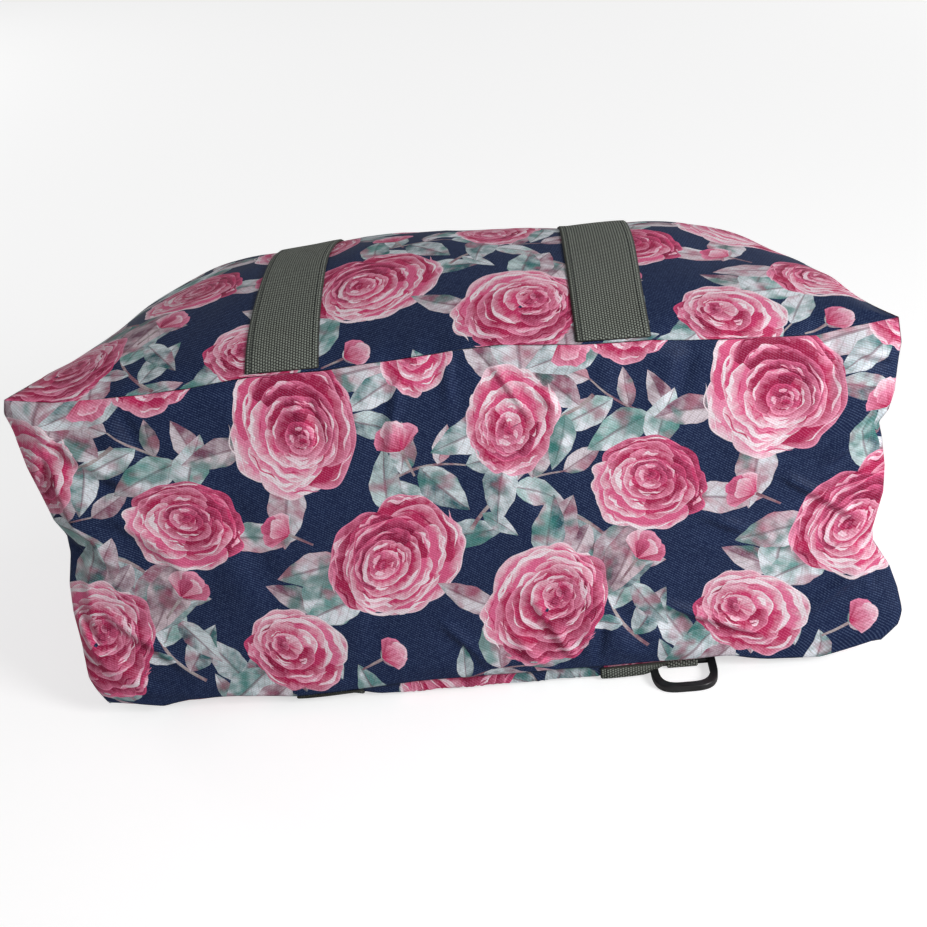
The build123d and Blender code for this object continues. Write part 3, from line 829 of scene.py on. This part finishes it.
def topmost(centres, shapes):
    """The index of the topmost shape over each centre, or -1 on the ground."""
    by_x = np.argsort(centres[:, 0], kind="stable")
    sorted_x = centres[by_x, 0]
    top = np.full(len(centres), -1)
    for k, (_, _, outline) in enumerate(shapes):
        (x0, y0), (x1, y1) = outline.min(0), outline.max(0)
        near = by_x[np.searchsorted(sorted_x, x0) : np.searchsorted(sorted_x, x1)]
        near = near[(centres[near, 1] > y0) & (centres[near, 1] < y1)]
        if len(near):
            top[near[within(centres[near], outline)]] = k
    return top


def paint(mesh, points, top, shapes, low, high):
    """Gives each triangle's corners the colours and coordinates of the shape on it."""
    dark = np.tile(np.array(rgba(NAVY)), (len(points), 1))
    light, motif, style = dark.copy(), np.zeros((len(points), 2)), np.zeros((len(points), 3))
    corner_top = np.repeat(top, 3)
    order = np.argsort(corner_top, kind="stable")
    bounds = np.searchsorted(corner_top[order], np.arange(len(shapes) + 1))
    for k, (shape, move, _) in enumerate(shapes):
        which = order[bounds[k] : bounds[k + 1]]
        if len(which):
            dark[which, :3], light[which, :3] = shape.dark, shape.light
            motif[which] = shape.local(points[which] - move)
            style[which, 0], style[which, 1] = shape.kind, shape.seed
    for layer, values in (("OFBake", (points - low) / max(high - low)), ("Cloth", points), ("Motif", motif)):
        mesh.uv_layers.new(name=layer).data.foreach_set("uv", values.astype(np.float32).ravel())
    for layer, values in (("Dark", dark), ("Light", light)):
        colours = mesh.color_attributes.new(layer, "FLOAT_COLOR", "CORNER")
        colours.data.foreach_set("color", values.astype(np.float32).ravel())
    styles = mesh.attributes.new("Style", "FLOAT_VECTOR", "CORNER")
    styles.data.foreach_set("vector", style.astype(np.float32).ravel())


def build_panel(panel):
    """A triangulated panel whose edges follow the print's shapes, with their colours on its corners."""
    ring, inside = flat_points(panel)
    flat = np.concatenate([ring, inside])
    # Everything is triangulated in the print's own coordinates
    printed = panel.flat(flat[:, 0], flat[:, 1])
    outline = printed[: len(ring)]
    low, high = outline.min(0), outline.max(0)
    shapes = shapes_over(low, high)
    verts, edges, count = [printed], [loop_edges(0, len(ring))], len(printed)
    for _, _, shape_outline in shapes:
        verts.append(shape_outline)
        edges.append(loop_edges(count, len(shape_outline)))
        count += len(shape_outline)
    verts, edges = np.concatenate(verts), np.concatenate(edges)
    out = delaunay_2d_cdt([Vector(v) for v in verts.tolist()], edges.tolist(), [], 0, 1e-3, False)
    points, tris = np.array([tuple(v) for v in out[0]]), np.array(out[2])
    tris = tris[within(points[tris].mean(1), outline)]
    top = topmost(points[tris].mean(1), shapes)
    used, tris = np.unique(tris, return_inverse=True)
    points, tris = points[used], tris.reshape(-1, 3)
    a, b = unprint(panel, points)
    place, normal = panel.place(a, b), panel.normals(panel.place, a, b)
    mesh = new_mesh(panel.name, place, tris.tolist())
    paint(mesh, points[tris.ravel()], top, shapes, low, high)
    face_normal = np.cross(place[tris[:, 1]] - place[tris[:, 0]], place[tris[:, 2]] - place[tris[:, 0]])
    if (face_normal * normal[tris[:, 0]]).sum() < 0:
        mesh.flip_normals()
    mesh.normals_split_custom_set_from_vertices(normal.tolist())
    return mesh


def unprint(panel, points):
    """A panel's flat coordinates, from those of the print."""
    points = points - panel.shift
    if panel.print_at is same:
        return points[:, 0], points[:, 1]
    b = np.abs(points[:, 0]) - END_PRINT_START
    return points[:, 1] / Section(share_at(ARC_END, b)).end_height * END_WIDTH, b


# Materials
class Value:
    """A shader socket that takes part in sums and products."""

    def __init__(self, graph, socket):
        self.graph, self.socket = graph, socket

    def __add__(self, other):
        return self.graph.math("ADD", self, other)

    def __radd__(self, other):
        return self.graph.math("ADD", other, self)

    def __sub__(self, other):
        return self.graph.math("SUBTRACT", self, other)

    def __rsub__(self, other):
        return self.graph.math("SUBTRACT", other, self)

    def __mul__(self, other):
        return self.graph.math("MULTIPLY", self, other)

    def __abs__(self):
        return self.graph.math("ABSOLUTE", self)


class Graph:
    """Short ways to add nodes to a material and to join them."""

    def __init__(self, tree):
        self.tree, self.shader = tree, tree.nodes["Principled BSDF"]

    def node(self, kind, inputs=(), out=0, **settings):
        n = self.tree.nodes.new(kind)
        for key, value in settings.items():
            setattr(n, key, value)
        for key, value in dict(inputs).items():
            self.put(n.inputs[key], value)
        return Value(self, n.outputs[out])

    def put(self, socket, value):
        if isinstance(value, Value):
            self.tree.links.new(value.socket, socket)
        elif value is not None:
            socket.default_value = value

    def surface(self, **values):
        """Sets the shader's own sockets; an underscore stands for a space."""
        for key, value in values.items():
            self.put(self.shader.inputs[key.replace("_", " ")], value)

    def math(self, op, *values, clamp=False):
        return self.node("ShaderNodeMath", enumerate(values), operation=op, use_clamp=clamp)

    def wave(self, value, period):
        return self.math("SINE", value * (2 * math.pi / period))

    def mix(self, share, a, b, blend="MIX"):
        return self.node("ShaderNodeMix", {0: share, 6: a, 7: b}, 2, data_type="RGBA", blend_type=blend)

    def ramp(self, value, a, b):
        return self.node("ShaderNodeMapRange", {0: value, 1: a, 2: b}, interpolation_type="SMOOTHSTEP")

    def noise(self, vector, scale, detail=2.0, rough=0.5):
        settings = {"Vector": vector, "Scale": scale, "Detail": detail, "Roughness": rough}
        return self.node("ShaderNodeTexNoise", settings)

    def vector(self, x, y, z=0.0):
        return self.node("ShaderNodeCombineXYZ", enumerate((x, y, z)))

    def split(self, vector):
        first = self.node("ShaderNodeSeparateXYZ", {0: vector})
        return [Value(self, socket) for socket in first.socket.node.outputs]

    def uv(self, name):
        return self.node("ShaderNodeUVMap", uv_map=name)

    def attribute(self, name, out="Color"):
        return self.node("ShaderNodeAttribute", out=out, attribute_name=name)

    def bump(self, height, strength, distance):
        settings = {"Height": height, "Strength": strength, "Distance": distance}
        self.surface(Normal=self.node("ShaderNodeBump", settings))


def new_material(name):
    mat = bpy.data.materials.new(name)
    mat.use_nodes = True
    return mat, Graph(mat.node_tree)


def printed_material():
    """Printed polyester twill; lengths are in millimetres of cloth."""
    mat, g = new_material("printed_cloth_twill")
    cx, cy, _ = g.split(g.uv("Cloth"))
    mu, mv, _ = g.split(g.uv("Motif"))
    kind, seed, _ = g.split(g.attribute("Style", "Vector"))
    dark, light = g.attribute("Dark"), g.attribute("Light")
    is_petal = g.math("COMPARE", kind, KIND_PETAL, 0.3)
    is_leaf = g.math("COMPARE", kind, KIND_LEAF, 0.3)
    seeds = seed * 40.0
    blotch = g.noise(g.vector(cx, cy, seeds), 0.085, 3.0, 0.55)
    streak = g.noise(g.vector(mu * 3.2, mv * 0.7, seeds), 1.6, 3.0, 0.6)
    # Petals run from a deep foot to a pale rim, in streaks
    petal_mix = mv * 0.75 + (streak - 0.5) * 1.5 + (blotch - 0.5) * 0.9
    petal_mix = petal_mix + g.ramp(mv, 0.86, 0.97) * (seed * 0.75)
    # Leaves are darker on one side of the midrib, with veins
    leaf_mix = g.math("GREATER_THAN", mu, 0.0) * 0.42 + (blotch - 0.36) * 3.0
    bend = mv * 7.0 - abs(mu) * 1.5
    vein = 1.0 - g.ramp(abs(g.math("FRACT", bend) - 0.5), 0.02, 0.10)
    midrib = 1.0 - g.ramp(abs(mu), 0.03, 0.13)
    veins = g.math("MAXIMUM", vein * 0.35, midrib * 0.75)
    flower_share = is_petal * petal_mix + is_leaf * leaf_mix
    plain_share = (1.0 - (is_petal + is_leaf)) * g.ramp(blotch, 0.35, 0.65)
    colour = g.mix(g.math("ADD", flower_share, plain_share, clamp=True), dark, light)
    colour = g.mix(veins * is_leaf * 0.8, colour, rgba(VEIN))
    # Watered patches of teal and rose on the leaves
    for offset, scale, low, high, amount, tint in LEAF_PATCHES:
        patch = g.ramp(g.noise(g.vector(cx, cy, seeds + offset), scale, 2.0, 0.6), low, high)
        colour = g.mix(patch * is_leaf * amount, colour, rgba(tint))
    # Twill: fine diagonal ribs crossed by the weft
    rib = g.wave(cx * 0.56 + cy * 0.83, TWILL_PITCH)
    weft = g.wave(cx - cy * 0.3, WEFT_PITCH)
    weave = rib * 0.72 + weft * 0.28
    fleck = g.noise(g.vector(cx, cy, 3.0), 0.85, 3.0, 0.75)
    worn = g.noise(g.vector(cx, cy, 11.0), 0.03, 3.0, 0.55)
    lift = weave * 0.1 + (fleck - 0.5) * 0.4 + (worn - 0.5) * 0.36
    colour = g.mix(1.0, colour, g.vector(*[0.9 + lift] * 3), "MULTIPLY")
    # Painted sheen: a bluish white is added to the colour on the ribs where the fleck noise is high, standing
    # in for light caught on the threads.
    painted_sheen = g.ramp(weave, -0.3, 0.9) * g.ramp(fleck, 0.3, 0.68) * PAINTED_SHEEN
    colour = g.mix(1.0, colour, g.vector(painted_sheen * 0.46, painted_sheen * 0.64, painted_sheen), "ADD")
    g.surface(Base_Color=colour, Roughness=0.46 + fleck * 0.2, Specular_IOR_Level=0.14)
    g.bump(weave * 0.5 + fleck, 0.4, 0.00016)
    return mat


def webbing_material():
    """Coarse woven yarns, with a row of stitches along both edges, and painted shade between the yarns and in
    the stitch holes.
    """
    mat, g = new_material("webbing_weave")
    x, y, _ = g.split(g.uv("Cloth"))
    column = x * (1 / YARN_WIDTH)
    row = y * (1 / YARN_LENGTH) + g.math("FLOOR", column) * 0.38
    yarn = g.math("SINE", g.math("FRACT", column) * math.pi) * g.math("SINE", g.math("FRACT", row) * math.pi)
    fleck = g.noise(g.vector(x, y, 0.0), 0.8, 3.0, 0.65)
    broad = g.noise(g.vector(x, y, 9.0), 0.03, 2.0, 0.5)
    # Each yarn fades to a painted shade towards the gaps between the yarns.
    colour = g.mix(g.ramp(yarn, 0.05, 0.75), rgba(WEB_GAP_SHADE), rgba(WEB_LIGHT))
    colour = g.mix(g.ramp(fleck, 0.35, 0.7) * 0.3, colour, rgba(WEB_GREY))
    colour = g.mix(broad * 0.2, colour, rgba(WEB_WARM))
    line = g.math("COMPARE", WEB_WIDTH / 2 - abs(x), STITCH_INSET, 0.5)
    dash = g.math("LESS_THAN", g.math("FRACT", y * (1 / STITCH_PITCH)), 0.68)
    thread = line * dash
    colour = g.mix(thread * 0.85, colour, rgba(STITCH_TONE))
    # Between the threads the sunk stitch line is darkened: painted shade in the needle holes.
    colour = g.mix((line - thread) * 0.5, colour, rgba(STITCH_HOLE_SHADE))
    g.surface(Base_Color=colour, Roughness=0.82, Specular_IOR_Level=0.25)
    g.bump(yarn + fleck * 0.4 - line * 0.7, 1.0, 0.0006)
    return mat


def tape_material():
    mat, g = new_material("zip_tape_herringbone")
    x, y, _ = g.split(g.uv("Cloth"))
    chevron = g.math("PINGPONG", x + 20.0, 1.6)
    rib = g.wave(chevron * 1.4 + y, 0.9)
    fleck = g.noise(g.vector(x, y, 0.0), 1.1, 3.0, 0.6)
    share = g.math("ADD", rib * 0.25, fleck, clamp=True)
    colour = g.mix(share, rgba(srgb(20, 25, 48)), rgba(srgb(52, 60, 92)))
    g.surface(Base_Color=colour, Roughness=0.85, Specular_IOR_Level=0.25)
    g.bump(rib + fleck, 0.6, 0.00015)
    return mat


def plain_material(name, colour, rough, metal=0.0, grain=900.0, depth=0.00005, second=None, amount=0.3):
    """Moulded or cast surface with a fine grain and uneven tone."""
    mat, g = new_material(name)
    coords = g.node("ShaderNodeTexCoord", out="Object")
    fine = g.noise(coords, grain, 3.0, 0.6)
    broad = g.noise(coords, grain / 18, 2.0, 0.5)
    tone_share = g.ramp(broad, 0.35, 0.7) * amount
    colours = g.mix(tone_share, rgba(colour), rgba(second or colour))
    g.surface(Base_Color=colours, Roughness=rough + (fine - 0.5) * 0.2, Metallic=metal)
    g.bump(fine, 0.4, depth)
    return mat


# Build the cloth
PRINTED = printed_material()
WEBBING = webbing_material()


def add_piece(mesh, material, replaces):
    """Adds a mesh as the piece of the same name, fixed to the bag."""
    mesh.materials.append(material)
    obj = add_object(mesh.name, mesh)
    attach(obj, "bag")
    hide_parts(*replaces)


for panel in PANELS:
    add_piece(build_panel(panel), PRINTED, panel.nodes)


LINING_INSET, LINING_STEP = 5.0, 12.0


def lining_mesh():
    """The thin inner bag, a little inside the printed panels."""
    verts, faces = [], []
    for panel in PANELS[:5]:
        t0, t1 = panel.t_range
        ts = np.linspace(t0 + 4, t1 - 4, int((t1 - t0) / LINING_STEP))
        lo, hi = panel.lo(ts), panel.hi(ts)
        cols = np.linspace(0, 1, int(max(hi - lo) / LINING_STEP) + 2)
        a = ((lo + LINING_INSET)[:, None] + (hi - lo - 2 * LINING_INSET)[:, None] * cols).ravel()
        b = np.repeat(ts, len(cols))
        start, n = len(verts), len(cols)
        verts += (panel.place(a, b) - panel.normals(panel.place, a, b) * LINING_INSET).tolist()
        for i in range(len(ts) - 1):
            for k in range(start + i * n, start + i * n + n - 1):
                faces.append((k, k + 1, k + n + 1, k + n))
    return new_mesh("lining_bag", verts, faces)


# Webbing handles
def front_b(y):
    return BASE_HEIGHT + np.interp(y / DEPTH, SHARES, ARC_HIGH)


def back_b(y):
    return -np.interp((y - SEAM_Y) / (DEPTH - SEAM_Y), SHARES, ARC_LOW)


def loft_strip(name, rows_low, rows_high, lengths, width=WEB_WIDTH):
    """A webbing strip from rows of points on its two faces, with rounded edges."""
    n_rows, n_cols = rows_low.shape[:2]
    middle = (rows_low + rows_high) / 2
    edge0 = middle[:, 0] + (middle[:, 0] - middle[:, 1]) * 0.35
    edge1 = middle[:, -1] + (middle[:, -1] - middle[:, -2]) * 0.35
    ring = np.concatenate([rows_high, edge1[:, None], rows_low[:, ::-1], edge0[:, None]], 1)
    m = ring.shape[1]
    verts = ring.reshape(-1, 3)
    faces, uv = [], []
    across = np.linspace(-width / 2, width / 2, n_cols)
    us = np.concatenate([across, [width / 2], across[::-1], [-width / 2]])
    for i in range(n_rows - 1):
        for j in range(m):
            k = (j + 1) % m
            faces.append((i * m + j, i * m + k, (i + 1) * m + k, (i + 1) * m + j))
            uv += [(us[j], lengths[i]), (us[k], lengths[i]), (us[k], lengths[i + 1]), (us[j], lengths[i + 1])]
    faces.append(tuple(range(m))[::-1])
    faces.append(tuple(range((n_rows - 1) * m, n_rows * m)))
    uv += [(0, 0)] * (2 * m)
    mesh = new_mesh(name, verts, faces)
    mesh.uv_layers.new(name="Cloth").data.foreach_set("uv", np.array(uv, np.float32).ravel())
    return mesh


HANDLE_COLS = np.linspace(-WEB_WIDTH / 2, WEB_WIDTH / 2, 16)
FROM_EDGE = np.abs(HANDLE_COLS) / (WEB_WIDTH / 2)
EDGE_THINNING, LOOP_BOW = 0.25, 0.6
LEG_BLEND, LOOP_SETTLE, LOOP_CLEAR = 40.0, 150.0, 0.8
LOOP_STRAIGHT = LOOP_REACH - LEG_OFFSET


def half_handle(side, panel, legs, plain_end, along, outward, twist, rise):
    """Rows of a handle's two faces, from the base seam to the free loop's top, on one side of the bag."""
    mirror = np.array([side, 1.0, 1.0])
    rows = []
    for b in legs:
        a = side * (LEG_OFFSET + HANDLE_COLS)
        b = np.full_like(a, b)
        p, n = panel.place(a, b), panel.normals(panel.place, a, b)
        thick = STITCH_GAP + WEB_THICK - EDGE_THINNING * FROM_EDGE**6
        rows.append(((p + n * STITCH_GAP) * mirror, (p + n * thick[:, None]) * mirror))
    # The free loop starts where the leg ends on the slack cloth, and settles to the plain loop
    fit = rows[-1][0] - plain_end
    settle = fit.mean(0)
    bend = fit - settle - np.outer(HANDLE_COLS, [1.0, 0, 0])
    lift = np.array([0.0, 0.0, rise * (WEB_WIDTH / 2 + LOOP_CLEAR)])
    for reach in np.linspace(0, LOOP_STRAIGHT, 60)[1:]:
        turn = smooth(reach, *twist) * math.pi / 2
        across = np.array([math.cos(turn), 0, 0]) - outward * math.sin(turn)
        normal = np.array([math.sin(turn), 0, 0]) + outward * math.cos(turn)
        bow = LOOP_BOW * math.sin(reach / LOOP_STRAIGHT * math.pi) * FROM_EDGE**2
        row = plain_end + along * reach + lift * math.sin(turn)
        row = row + np.outer(HANDLE_COLS, across) + np.outer(bow, normal)
        row = row + bend * (1 - smooth(reach, 0, LEG_BLEND)) + settle * (1 - smooth(reach, 0, LOOP_SETTLE))
        rows.append((row, row + normal * WEB_THICK))
    for angle in np.linspace(0, math.pi / 2, 40)[1:]:
        spot = plain_end + along * (LOOP_STRAIGHT + LEG_OFFSET * math.sin(angle)) + lift
        normal = np.array([math.cos(angle), 0, 0]) + along * math.sin(angle)
        row = spot + np.array([LEG_OFFSET * (math.cos(angle) - 1), 0, 0]) + np.outer(HANDLE_COLS, -outward)
        rows.append((row, row + normal * WEB_THICK))
    return [np.array(face) * mirror for face in zip(*rows)]


def handle(name, node, *shape):
    """One handle: up one leg on the panel, round the free loop and down the other leg."""
    right, left = half_handle(1, *shape), half_handle(-1, *shape)
    low, high = [np.concatenate([r, l[-2::-1]]) for r, l in zip(right, left)]
    centre = (low[:, 7] + low[:, 8]) / 2
    lengths = np.concatenate([[0], np.cumsum(np.linalg.norm(np.diff(centre, axis=0), axis=1))])
    add_piece(loft_strip(name, low, high, lengths), WEBBING, [node])


lean = math.asin((FRONT_REACH - CROWN_DISTANCE) / CROWN_RADIUS)
handle(
    "front_webbing", "front_handle", PANELS[1], front_b(np.linspace(0.5, FRONT_REACH, 110)),
    np.array([LEG_OFFSET, FRONT_REACH, front_height(FRONT_REACH) + STITCH_GAP]),
    np.array([0, math.cos(lean), -math.sin(lean)]), np.array([0, math.sin(lean), math.cos(lean)]),
    FRONT_TWIST, 0,
)
handle(
    "back_webbing", "back_handle", PANELS[2], back_b(np.linspace(SEAM_Y + 0.5, BACK_REACH, 100)),
    np.array([LEG_OFFSET, BACK_REACH, back_height(BACK_REACH) - STITCH_GAP]),
    np.array([0.0, 1.0, 0.0]), np.array([0.0, 0.0, -1.0]), BACK_TWIST, 1,
)

# The short webbing tab that holds the ring: one strip folded round the ring's bar
RING_X, BAR_Y, BAR_Z, RING_TAB_WIDTH, RING_TAB_THICK = 135.0, SEAM_Y + 11.0, 3.9, 19.0, 1.3
BAR_CLEAR, TAB_REACH, TAB_RETURN, TAB_TURN = 2.5, 50.0, 23.0, math.pi / 3


def ring_tab():
    middle = BAR_CLEAR + RING_TAB_THICK / 2
    # Each row's y and z, then its outward direction
    path = [(BAR_Y + reach, 0.1 + RING_TAB_THICK / 2, 0.0, -1.0) for reach in np.linspace(TAB_REACH, 0.5, 20)]
    for angle in np.linspace(1.5 * math.pi, TAB_TURN, 26):
        out = (math.cos(angle), math.sin(angle))
        path.append((BAR_Y + middle * out[0], BAR_Z + middle * out[1], *out))
    start, stop = np.array(path[-1]), np.array([BAR_Y + TAB_RETURN, 0.2 + 1.5 * RING_TAB_THICK, 0.0, 1.0])
    path += [start + (stop - start) * share for share in np.linspace(0, 1, 14)[1:]]
    cols = np.linspace(-RING_TAB_WIDTH / 2, RING_TAB_WIDTH / 2, 10)
    low, high, lengths = [], [], [0.0]
    for k, (y, z, ny, nz) in enumerate(path):
        spot = np.stack([RING_X + cols, np.full_like(cols, y), np.full_like(cols, z)], -1)
        out = np.array([0, ny, nz]) / math.hypot(ny, nz)
        low.append(spot - out * RING_TAB_THICK / 2)
        high.append(spot + out * RING_TAB_THICK / 2)
        if k:
            lengths.append(lengths[-1] + math.dist(path[k][:2], path[k - 1][:2]))
    strip = loft_strip("ring_tab_webbing", np.array(low), np.array(high), lengths, RING_TAB_WIDTH)
    add_piece(strip, WEBBING, ["strap_ring_tab"])


ring_tab()

# Zip: rows of separate teeth on woven tapes
TEETH_PITCH, TOOTH_LENGTH, TOOTH_DEPTH, TOOTH_EDGE = 2.0, 1.25, 2.4, 0.3
COIL_GAP, COIL_WIDTH, TAPE_WIDTH, TAPE_THICK, TAPE_END = 1.4, 2.6, 13.0, 0.8, 6.5
ZIP_Z = float(MOUTH.z_low) + ZIP_HEIGHT
TAPE_Y = DEPTH - TAPE_THICK / 2


def rounded_block(size, edge):
    """Corners and faces of a small block with chamfered edges, centred on the origin."""
    bm = bmesh.new()
    bmesh.ops.create_cube(bm, size=1.0)
    bmesh.ops.scale(bm, vec=size, verts=bm.verts)
    bmesh.ops.bevel(bm, geom=bm.edges[:], offset=edge, segments=2, affect="EDGES")
    verts = np.array([tuple(v.co) for v in bm.verts])
    faces = [[v.index for v in face.verts] for face in bm.faces]
    bm.free()
    return verts, faces


def zip_row(name, side, material):
    """A row of teeth, one after another, inside the plain row's space."""
    block, block_faces = rounded_block((TOOTH_LENGTH, TOOTH_DEPTH, COIL_WIDTH), TOOTH_EDGE)
    count = int(2 * ZIP_HALF / TEETH_PITCH)
    shift = TEETH_PITCH * (0.25 if side > 0 else -0.25)
    verts, faces = [], []
    for i in range(count):
        x = (i - (count - 1) / 2) * TEETH_PITCH + shift
        faces += [[k + i * len(block) for k in face] for face in block_faces]
        verts.append(block + [x, TAPE_Y, ZIP_Z + side * (COIL_GAP + COIL_WIDTH) / 2])
    mesh = new_mesh(f"{name}_zip_teeth", np.concatenate(verts), faces)
    add_piece(mesh, material, [f"{name}_zip_coil"])


def zip_tape(name, side, material):
    """A woven tape with a beaded edge, thinner towards its free edge."""
    cols = np.linspace(-TAPE_WIDTH / 2, TAPE_WIDTH / 2, 14)
    xs = np.linspace(-ZIP_HALF - TAPE_END, ZIP_HALF + TAPE_END, 160)
    z = ZIP_Z + side * (COIL_GAP / 2 + COIL_WIDTH + TAPE_WIDTH / 2)
    low, high = [], []
    for x in xs:
        spot = np.stack([np.full_like(cols, x), np.full_like(cols, TAPE_Y), z + cols], -1)
        full = TAPE_THICK / 2 * (0.72 + 0.1 * np.sin(cols * 1.9) + 0.12 * np.sin(x / 17.0))
        low.append(spot - np.outer(full, [0, 1, 0]))
        high.append(spot + np.outer(full, [0, 1, 0]))
    mesh = loft_strip(f"{name}_tape_woven", np.array(low), np.array(high), xs - xs[0], TAPE_WIDTH)
    add_piece(mesh, material, [f"{name}_zip_tape"])


metal = plain_material("zip_metal_cast", srgb(150, 150, 150), 0.38, 1.0, 2400.0, 0.00002, srgb(110, 110, 112))
black = plain_material(
    "ring_black_plastic", srgb(24, 24, 26), 0.34, 0.0, 1800.0, 0.00003, srgb(44, 44, 46), 0.5,
)
board = plain_material("board_plastic", srgb(40, 40, 42), 0.6)
teeth = plain_material("zip_teeth_nylon", srgb(24, 28, 52), 0.45, 0.0, 1500.0, 0.00003, srgb(40, 45, 72))
tape = tape_material()
lining = plain_material("lining_taffeta", srgb(190, 190, 192), 0.7, 0.0, 1400.0, 0.00005, srgb(176, 176, 180))
for name, side in (("front", 1), ("back", -1)):
    zip_row(name, side, teeth)
    zip_tape(name, side, tape)
add_piece(lining_mesh(), lining, ["lining"])

# The CAD pieces that keep their shape
CAD_LOOKS = {
    "left_zip_slider": metal, "right_zip_slider": metal, "left_zip_puller": metal, "right_zip_puller": metal,
    "strap_ring": black, "base_board": board,
}
for node, material in CAD_LOOKS.items():
    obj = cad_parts[node]
    if not obj.data.materials:
        obj.data.materials.append(material)
    for slot in obj.material_slots:
        slot.material = material

# Floor, backdrop and light
FLOOR_REACH, FLOOR_LEVEL, BACKDROP_LEVEL, WORLD_LEVEL = 6.0, 0.62, 0.9, 0.3
floor = bpy.data.meshes.new("floor")
corners = [(-1, -1), (1, -1), (1, 1), (-1, 1)]
floor.from_pydata([(x * FLOOR_REACH, y * FLOOR_REACH, 0) for x, y in corners], [], [(0, 1, 2, 3)])
floor_material, graph = new_material("floor_white")
seen = graph.node("ShaderNodeLightPath", out="Is Camera Ray")
graph.surface(
    Base_Color=rgba((FLOOR_LEVEL, FLOOR_LEVEL, FLOOR_LEVEL)), Roughness=0.9, Specular_IOR_Level=0.1,
    Emission_Color=rgba((1, 1, 1)), Emission_Strength=seen * FLOOR_LEVEL,
)
floor.materials.append(floor_material)
add_object("floor", floor)

world = bpy.data.worlds.new("studio")
world.use_nodes = True
bpy.context.scene.world = world
nodes, links = world.node_tree.nodes, world.node_tree.links
background = nodes["Background"]
background.inputs["Color"].default_value = rgba((1, 1, 1))
rays, level = nodes.new("ShaderNodeLightPath"), nodes.new("ShaderNodeMapRange")
level.inputs["To Min"].default_value = WORLD_LEVEL
level.inputs["To Max"].default_value = BACKDROP_LEVEL
links.new(rays.outputs["Is Camera Ray"], level.inputs["Value"])
links.new(level.outputs[0], background.inputs["Strength"])


def area_light(name, location, target, size, power):
    data = bpy.data.lights.new(name, "AREA")
    data.shape, data.size, data.energy = "DISK", size, power
    obj = add_object(name, data)
    obj.location = location
    obj.visible_camera = False
    obj.rotation_mode = "QUATERNION"
    obj.rotation_quaternion = (Vector(target) - Vector(location)).to_track_quat("-Z", "Y")


area_light("key", (0.92, -0.98, 0.72), (0.1, -0.2, 0.1), 0.5, 12.8)
for side in (-1, 1):
    area_light("back", (side * 2.7, 2.1, 0.7), (0, 0.1, 0.1), 1.0, 20)

# The camera, as it was fitted to the photograph's outline and seams
camera_data = bpy.data.cameras.new("camera")
camera_data.sensor_width, camera_data.lens, camera_data.clip_end = 36.0, 53.9, 50
camera = add_object("camera", camera_data)
right = Vector((0.99486, 0.00092, -0.10130))
up = Vector((0.08883, 0.47279, 0.87669))
camera.rotation_mode = "QUATERNION"
camera.rotation_quaternion = Matrix((right, up, right.cross(up))).transposed().to_quaternion()
camera.location = (Vector((46.04, -781.46, 574.73)) + Vector(SHIFT)) / 1000
bpy.context.scene.camera = camera
bpy.context.scene.view_settings.view_transform = "Standard"
